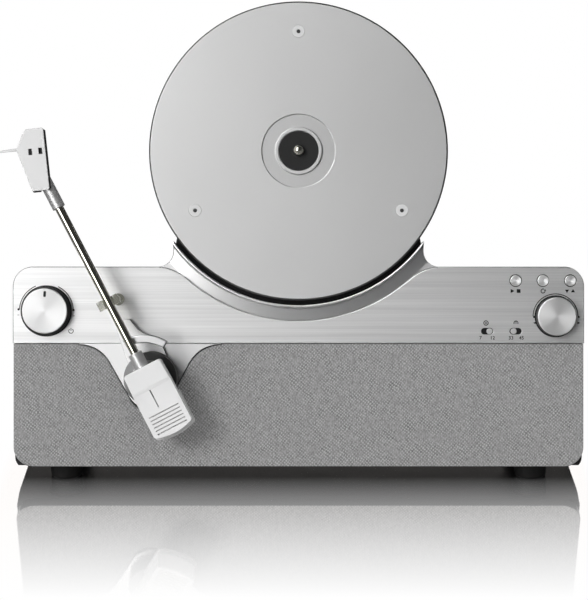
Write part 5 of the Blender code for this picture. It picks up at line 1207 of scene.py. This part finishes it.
def make_block_base():
    """The base under the cover's tail, a little larger than it, in white plastic darkened to grey as painted
    shade.
    """
    grow, drop, front, depth = 0.0009, 0.0018, -0.0155, 0.0022
    corner, front_corner, flat = 0.0026, 0.0008, 0.012
    top = BLOCK_BOTTOM - GAP
    tail = [(x, y - drop, radius) for x, y, radius in inset(block_corners(), -grow) if y < front]
    (left, left_y, _), (right, right_y, _) = tail[0], tail[-1]
    tail = [spot for spot in tail[1:-1] if abs(spot[0]) < flat]
    corners = [(left, left_y, corner), *tail, (right, right_y, corner)]
    corners += [(right, front, front_corner), (left, front, front_corner)]
    mesh = slab("base", [(shaped(corners), rounding_both(EDGE_ROUND, top, top - depth))])
    piece("block_base", mesh, TILT, "under", "tonearm", "counterweight_base")


def make_tube():
    edge, sleeve_edge, play = 0.0002, 0.0005, 0.0001
    along = TILT @ Matrix.Rotation(-pi / 2, 4, "X")
    rod = lathe("rod", tube(0, TUBE_RADIUS, TUBE_END, TUBE_START, edge, edge), 64)
    piece("chrome_tube", rod, along, "chrome", "tonearm", "arm_tube")
    for name, (radius, low, high) in SLEEVES.items():
        ring = tube(TUBE_RADIUS + play, radius, high, low, sleeve_edge, sleeve_edge)
        mesh = lathe("sleeve", ring, 64, bore=True)
        piece(f"{name}_sleeve", mesh, along, "sleeve", "tonearm", f"{name}_collar")


def make_headshell():
    """A silver plate with two slots, skirts on its right and lower sides, and the finger lift. Its walls and
    the skirts are painted black as painted shade.
    """
    thickness, edge = 0.0025, 0.0002
    slot_middle, slot_apart, slot_half, slot_low, slot_high = -0.0058, 0.0035, 0.0013, 0.0232, 0.0276
    skirt_tail, skirt_sink, painted = 0.005, 0.0011, 0.0008
    low, high = SHELL_LEVEL, SHELL_LEVEL + thickness
    walls = [(shaped(SHELL_CORNERS), rounding_both(EDGE_ROUND, high, low))]
    for side in (-1, 1):
        across = slot_middle + side * slot_apart
        ends = rectangle(across - slot_half, slot_low, across + slot_half, slot_high, edge)
        walls.append((fixed(rounded(ends, 10 * FINE)), [(0, high), (0, low)]))
    bottom, top = low - skirt_tail, high - skirt_sink
    skirts = [brick("skirt", (*first, bottom), (*last, top), edge) for first, last in SHELL_SKIRTS]
    mesh = carved(slab("plate", walls), skirts, "UNION")
    piece("shell_plate", mesh, SHELL, "silver", "tonearm", "headshell")
    # Walls and the skirts' faces are painted black as painted shade.
    paint(mesh, "print_and_painted_shade", lambda at, normal: abs(normal.z) < WALL or at.z < high - painted)

    tip, root, middle, tip_half, root_half = -0.0306, -0.014, 0.028, 0.0008, 0.00105
    depth, finger_round, finger_edge = 0.001, 0.0004, 0.0003
    finger = [(tip, middle - tip_half, finger_round), (root, middle - root_half)]
    finger += [(root, middle + root_half), (tip, middle + tip_half, finger_round)]
    top = low - GAP
    mesh = slab("finger", [(shaped(finger, 5 * FINE), rounding_both(finger_edge, top, top - depth, 3))])
    piece("finger_bar", mesh, SHELL, "silver", "tonearm", "finger_lift")


# Legends and small fasteners

def flat_mesh(outlines):
    low, high = -0.00008, 0.00004
    return merged("flat", [slab("flat", [(fixed(points), [(0, high), (0, low)])]) for points in outlines])


def ribbon(centre, radius, start, end, width=0.0006):
    outer = arc(centre, radius + width / 2, radians(start), radians(end), FINE)
    return outer + arc(centre, radius - width / 2, radians(end), radians(start), FINE)


def bar(centre, half_width, half_height):
    x, y = centre
    box = rectangle(x - half_width, y - half_height, x + half_width, y + half_height)
    return [corner[:2] for corner in box]


def triangle(x, y, along, across, sideways=True):
    """From the middle of its base at (x, y) to the tip, with a base of twice across."""
    if sideways:
        corners = [(x, y - across), (x + along, y), (x, y + across)]
    else:
        corners = [(x + across, y), (x, y + along), (x - across, y)]
    return corners if along > 0 else corners[::-1]


def digits(text, centre):
    size, thickness, sink = 0.0034, 0.00006, 0.00002
    letters = bpy.data.curves.new("digits", "FONT")
    letters.body = text
    letters.size = size
    letters.align_x = "CENTER"
    letters.align_y = "CENTER"
    letters.extrude = thickness
    letters.offset = thickness
    thing = added("digits", letters)
    graph = bpy.context.evaluated_depsgraph_get()
    mesh = bpy.data.meshes.new_from_object(thing.evaluated_get(graph))
    bpy.data.objects.remove(thing, do_unlink=True)
    return moved(mesh, Matrix.Translation((*centre, -sink)))


def knob_legends():
    """Arcs and dots round both knobs, a minus and a plus, arrows and the power sign."""
    scale_radius, jog_radius, dot = 0.0189, 0.0157, 0.0008
    half, thin = 0.0006, 0.00015
    outlines = [ribbon(VOLUME_SPOT, scale_radius, 4, 64), ribbon(VOLUME_SPOT, scale_radius, 113, 176)]
    outlines.append(ribbon(JOG_SPOT, jog_radius, 0, 180))
    outlines += [circle(on_face(*place), dot, 16) for place in DOTS]
    outlines.append(bar(on_face(*MINUS), half, thin))
    outlines += [bar(on_face(*PLUS), half, thin), bar(on_face(*PLUS), thin, half)]
    length, back, across = 0.0019, 0.0009, 0.0009
    for side, place in JOG_ARROWS.items():
        x, y = on_face(*place)
        outlines.append(triangle(x - side * back, y, side * length, across))
    radius, width, rise, stroke = 0.0016, 0.0005, 0.0012, 0.001
    x, y = on_face(*POWER_SIGN)
    return outlines + [ribbon((x, y), radius, 125, 415, width), bar((x, y + rise), width / 2, stroke)]


def button_legends():
    """Start and stop, an open ring with an arrow for repeat, and two triangles for the arm's lift."""
    back, length, half, square, apart = 0.0034, 0.0026, 0.0015, 0.0013, 0.0022
    x, y = on_face(*START_SIGN)
    outlines = [triangle(x - back, y, length, half), bar((x + apart, y), square, square)]
    radius, edge, low, rise, across = 0.0014, 0.0014, 0.0002, 0.0011, 0.0009
    x, y = on_face(*REPEAT_SIGN)
    outlines += [ribbon((x, y), radius, 60, 360), triangle(x + edge, y + low, rise, across, False)]
    apart, sink, length, half = 0.0021, 0.0009, 0.0023, 0.0014
    x, y = on_face(*ARM_SIGN)
    for side in (-1, 1):
        outlines.append(triangle(x + side * apart, y - side * sink, side * length, half, False))
    return outlines


def switch_legends():
    """A ring with a dot for the record's size, and an arc with a needle for its speed."""
    ring, dot = 0.0015, 0.0006
    place = on_face(*SIZE_SIGN)
    outlines = [ribbon(place, ring, 0, 180), ribbon(place, ring, 180, 360), circle(place, dot, 16)]
    radius, rise, half, needle = 0.0014, 0.0003, 0.0003, 0.0009
    x, y = on_face(*SPEED_SIGN)
    return outlines + [ribbon((x, y), radius, -30, 210), bar((x, y + rise), half, needle)]


def make_legends():
    numbers = [digits(text, on_face(*place)) for text, place in NUMBERS.items()]
    outlines = knob_legends() + button_legends() + switch_legends()
    piece("legends", merged("legends", [flat_mesh(outlines), *numbers]), FACE, "print_and_painted_shade")


def screw_mesh():
    """A low domed head with a cross."""
    radius, height, dome, edge, cross_share = 0.0026, 0.0009, 0.0003, 0.0005, 0.62
    reach, half, floor, top = radius * cross_share, 0.00035, 0.0005, 0.004
    arms = [brick("arm", (-a, -b, floor), (a, b, top)) for a, b in ((reach, half), (half, reach))]
    return carved(lathe("head", tube(0, radius, height, 0.0, edge, dome=dome), 40), arms)


def make_fasteners():
    back = shifted(FACE, 0, 0, NECK_BACK) @ Matrix.Rotation(pi, 4, "Y")
    spots = [(side * half, y) for half, y in NECK_SCREWS for side in (-1, 1)]
    for i, (x, y) in enumerate(spots):
        piece(f"neck_screw_{i + 1}", screw_mesh(), shifted(back, -x, y), "steel")


def dress_kept_nodes():
    for look, names in KEPT_LOOKS.items():
        for name in names:
            dress(name, look)


# Camera, light and floor

def add_camera():
    lens = bpy.data.cameras.new("camera")
    lens.lens = SENSOR * VIEW_DISTANCE / (PHOTO_SIZE[1] * PIXEL) * 1000
    lens.clip_end = 50
    thing = added("camera", lens)
    x, y = on_face(PHOTO_SIZE[0] / 2, PHOTO_SIZE[1] / 2)
    thing.matrix_world = shifted(FACE, x, y, VIEW_DISTANCE)
    bpy.context.scene.camera = thing


def add_key_lamp():
    """The lamp that shades the forms. Reflections see the world's soft light instead."""
    lamp = bpy.data.lights.new("key", "AREA")
    lamp.shape = "SQUARE"
    lamp.size = KEY_SIZE
    lamp.energy = KEY_POWER
    thing = added("key", lamp)
    spot, target = FACE @ Vector(KEY_SPOT), FACE @ Vector(KEY_TARGET)
    thing.location = spot
    thing.rotation_euler = (target - spot).to_track_quat("-Z", "Y").to_euler()
    thing.visible_glossy = False


def beyond(value, middle, half):
    """How far a value lies outside middle plus or minus half."""
    off = absolute(minus(value, middle))
    return greater(minus(off, half), 0.0)


def floor_material():
    """White and matt, with a mirror's gloss near the feet, and plain white far away."""
    made = bpy.data.materials.new("floor")
    made.use_nodes = True
    tree = made.node_tree
    tree.nodes.clear()
    place = node(tree, "ShaderNodeTexCoord").outputs["Object"]
    parts = node(tree, "ShaderNodeSeparateXYZ", Vector=place).outputs
    across = times(beyond(parts["X"], 0.0, BODY_HALF), GLOSS_STRETCH)
    depth = beyond(parts["Y"], GLOSS_DEPTH, GLOSS_DEPTH)
    both = plus(power(across, 2.0), power(depth, 2.0))
    away = square_root(both)
    facing = node(tree, "ShaderNodeLayerWeight", Blend=0.5).outputs["Facing"]
    near = spread(away, 1.0, 0.0, *GLOSS_FADE)
    gloss_share = times(near, spread(facing, 0.0, 1.0, *GLOSS_FACING))
    ray = tree.nodes.new("ShaderNodeLightPath").outputs
    seen = greater(ray["Is Camera Ray"], ray["Is Transmission Ray"])
    far_share = times(spread(away, *FAR_SHARES, 0.0, FAR_DISTANCE), seen)
    far_share = greater(far_share, ray["Is Glossy Ray"])
    level = spread(ray["Is Glossy Ray"], 1.0, FLOOR_SHINE, 0.0, 1.0)
    soft = node(tree, "ShaderNodeBsdfDiffuse", Color=FLOOR_WHITE)
    far = node(tree, "ShaderNodeEmission", Color=WHITE, Strength=level)
    gloss = node(tree, "ShaderNodeBsdfGlossy", Color=GLOSS_TINT, Roughness=GLOSS_ROUGHNESS)
    pale = node(tree, "ShaderNodeMixShader", Fac=far_share, i1=soft.outputs[0], i2=far.outputs[0])
    mix = node(tree, "ShaderNodeMixShader", Fac=gloss_share, i1=pale.outputs[0], i2=gloss.outputs[0])
    node(tree, "ShaderNodeOutputMaterial", Surface=mix.outputs[0])
    return made


def add_floor():
    mesh = bpy.data.meshes.new("floor")
    corners = [(x * FLOOR_REACH, y * FLOOR_REACH, 0) for x, y in ((-1, -1), (1, -1), (1, 1), (-1, 1))]
    mesh.from_pydata(corners, [], [(0, 1, 2, 3)])
    thing = added("floor", mesh)
    mesh.materials.append(floor_material())


def window(value, low, high, edge):
    """1 between low and high, with soft edges."""
    rise = spread(value, 0.0, 1.0, low - edge, low + edge)
    return times(rise, spread(value, 1.0, 0.0, high - edge, high + edge))


def light_world():
    """White to the eye. Reflections see a dark room with a soft light high on the left, and white behind."""
    world = bpy.data.worlds.new("studio")
    world.use_nodes = True
    bpy.context.scene.world = world
    tree = world.node_tree
    ray = tree.nodes.new("ShaderNodeLightPath").outputs
    way = node(tree, "ShaderNodeTexCoord").outputs["Generated"]
    turn = FACE.to_3x3()
    front = vector_maths("DOT_PRODUCT", way, tuple(turn @ Vector((0, 0, 1))))
    rise = vector_maths("DOT_PRODUCT", way, tuple(turn @ Vector((0, 1, 0))))
    left = vector_maths("DOT_PRODUCT", way, (-1, 0, 0))
    across = window(arctangent(left, front), *SOFTBOX_ACROSS)
    box = times(across, window(rise, *SOFTBOX_HIGH))
    shine = plus(times(box, SOFTBOX_LEVEL), ROOM_LEVEL)
    aside = spread(absolute(left), 1.0, 0.0, *ASIDE)
    behind = times(spread(front, 1.0, 0.0, *BEHIND), aside)
    glossy = times(ray["Is Glossy Ray"], greater(shine, behind))
    through = greater(ray["Is Camera Ray"], ray["Is Transmission Ray"])
    even = times(ray["Is Diffuse Ray"], EVEN_LIGHT)
    level = greater(greater(glossy, through), even)
    background = tree.nodes["Background"].inputs
    background["Color"].default_value = WHITE
    tree.links.new(level, background["Strength"])


for make in (
    dress_kept_nodes, make_fascia, make_plinth, make_grille, make_collar, make_platter, make_controls,
    make_drum, make_rail, make_bracket, make_rest, make_block_cover, make_block_base, make_tube,
    make_headshell, make_legends, make_fasteners, add_camera, add_key_lamp, add_floor, light_world,
):
    make()

bpy.context.scene.view_settings.view_transform = "Standard"
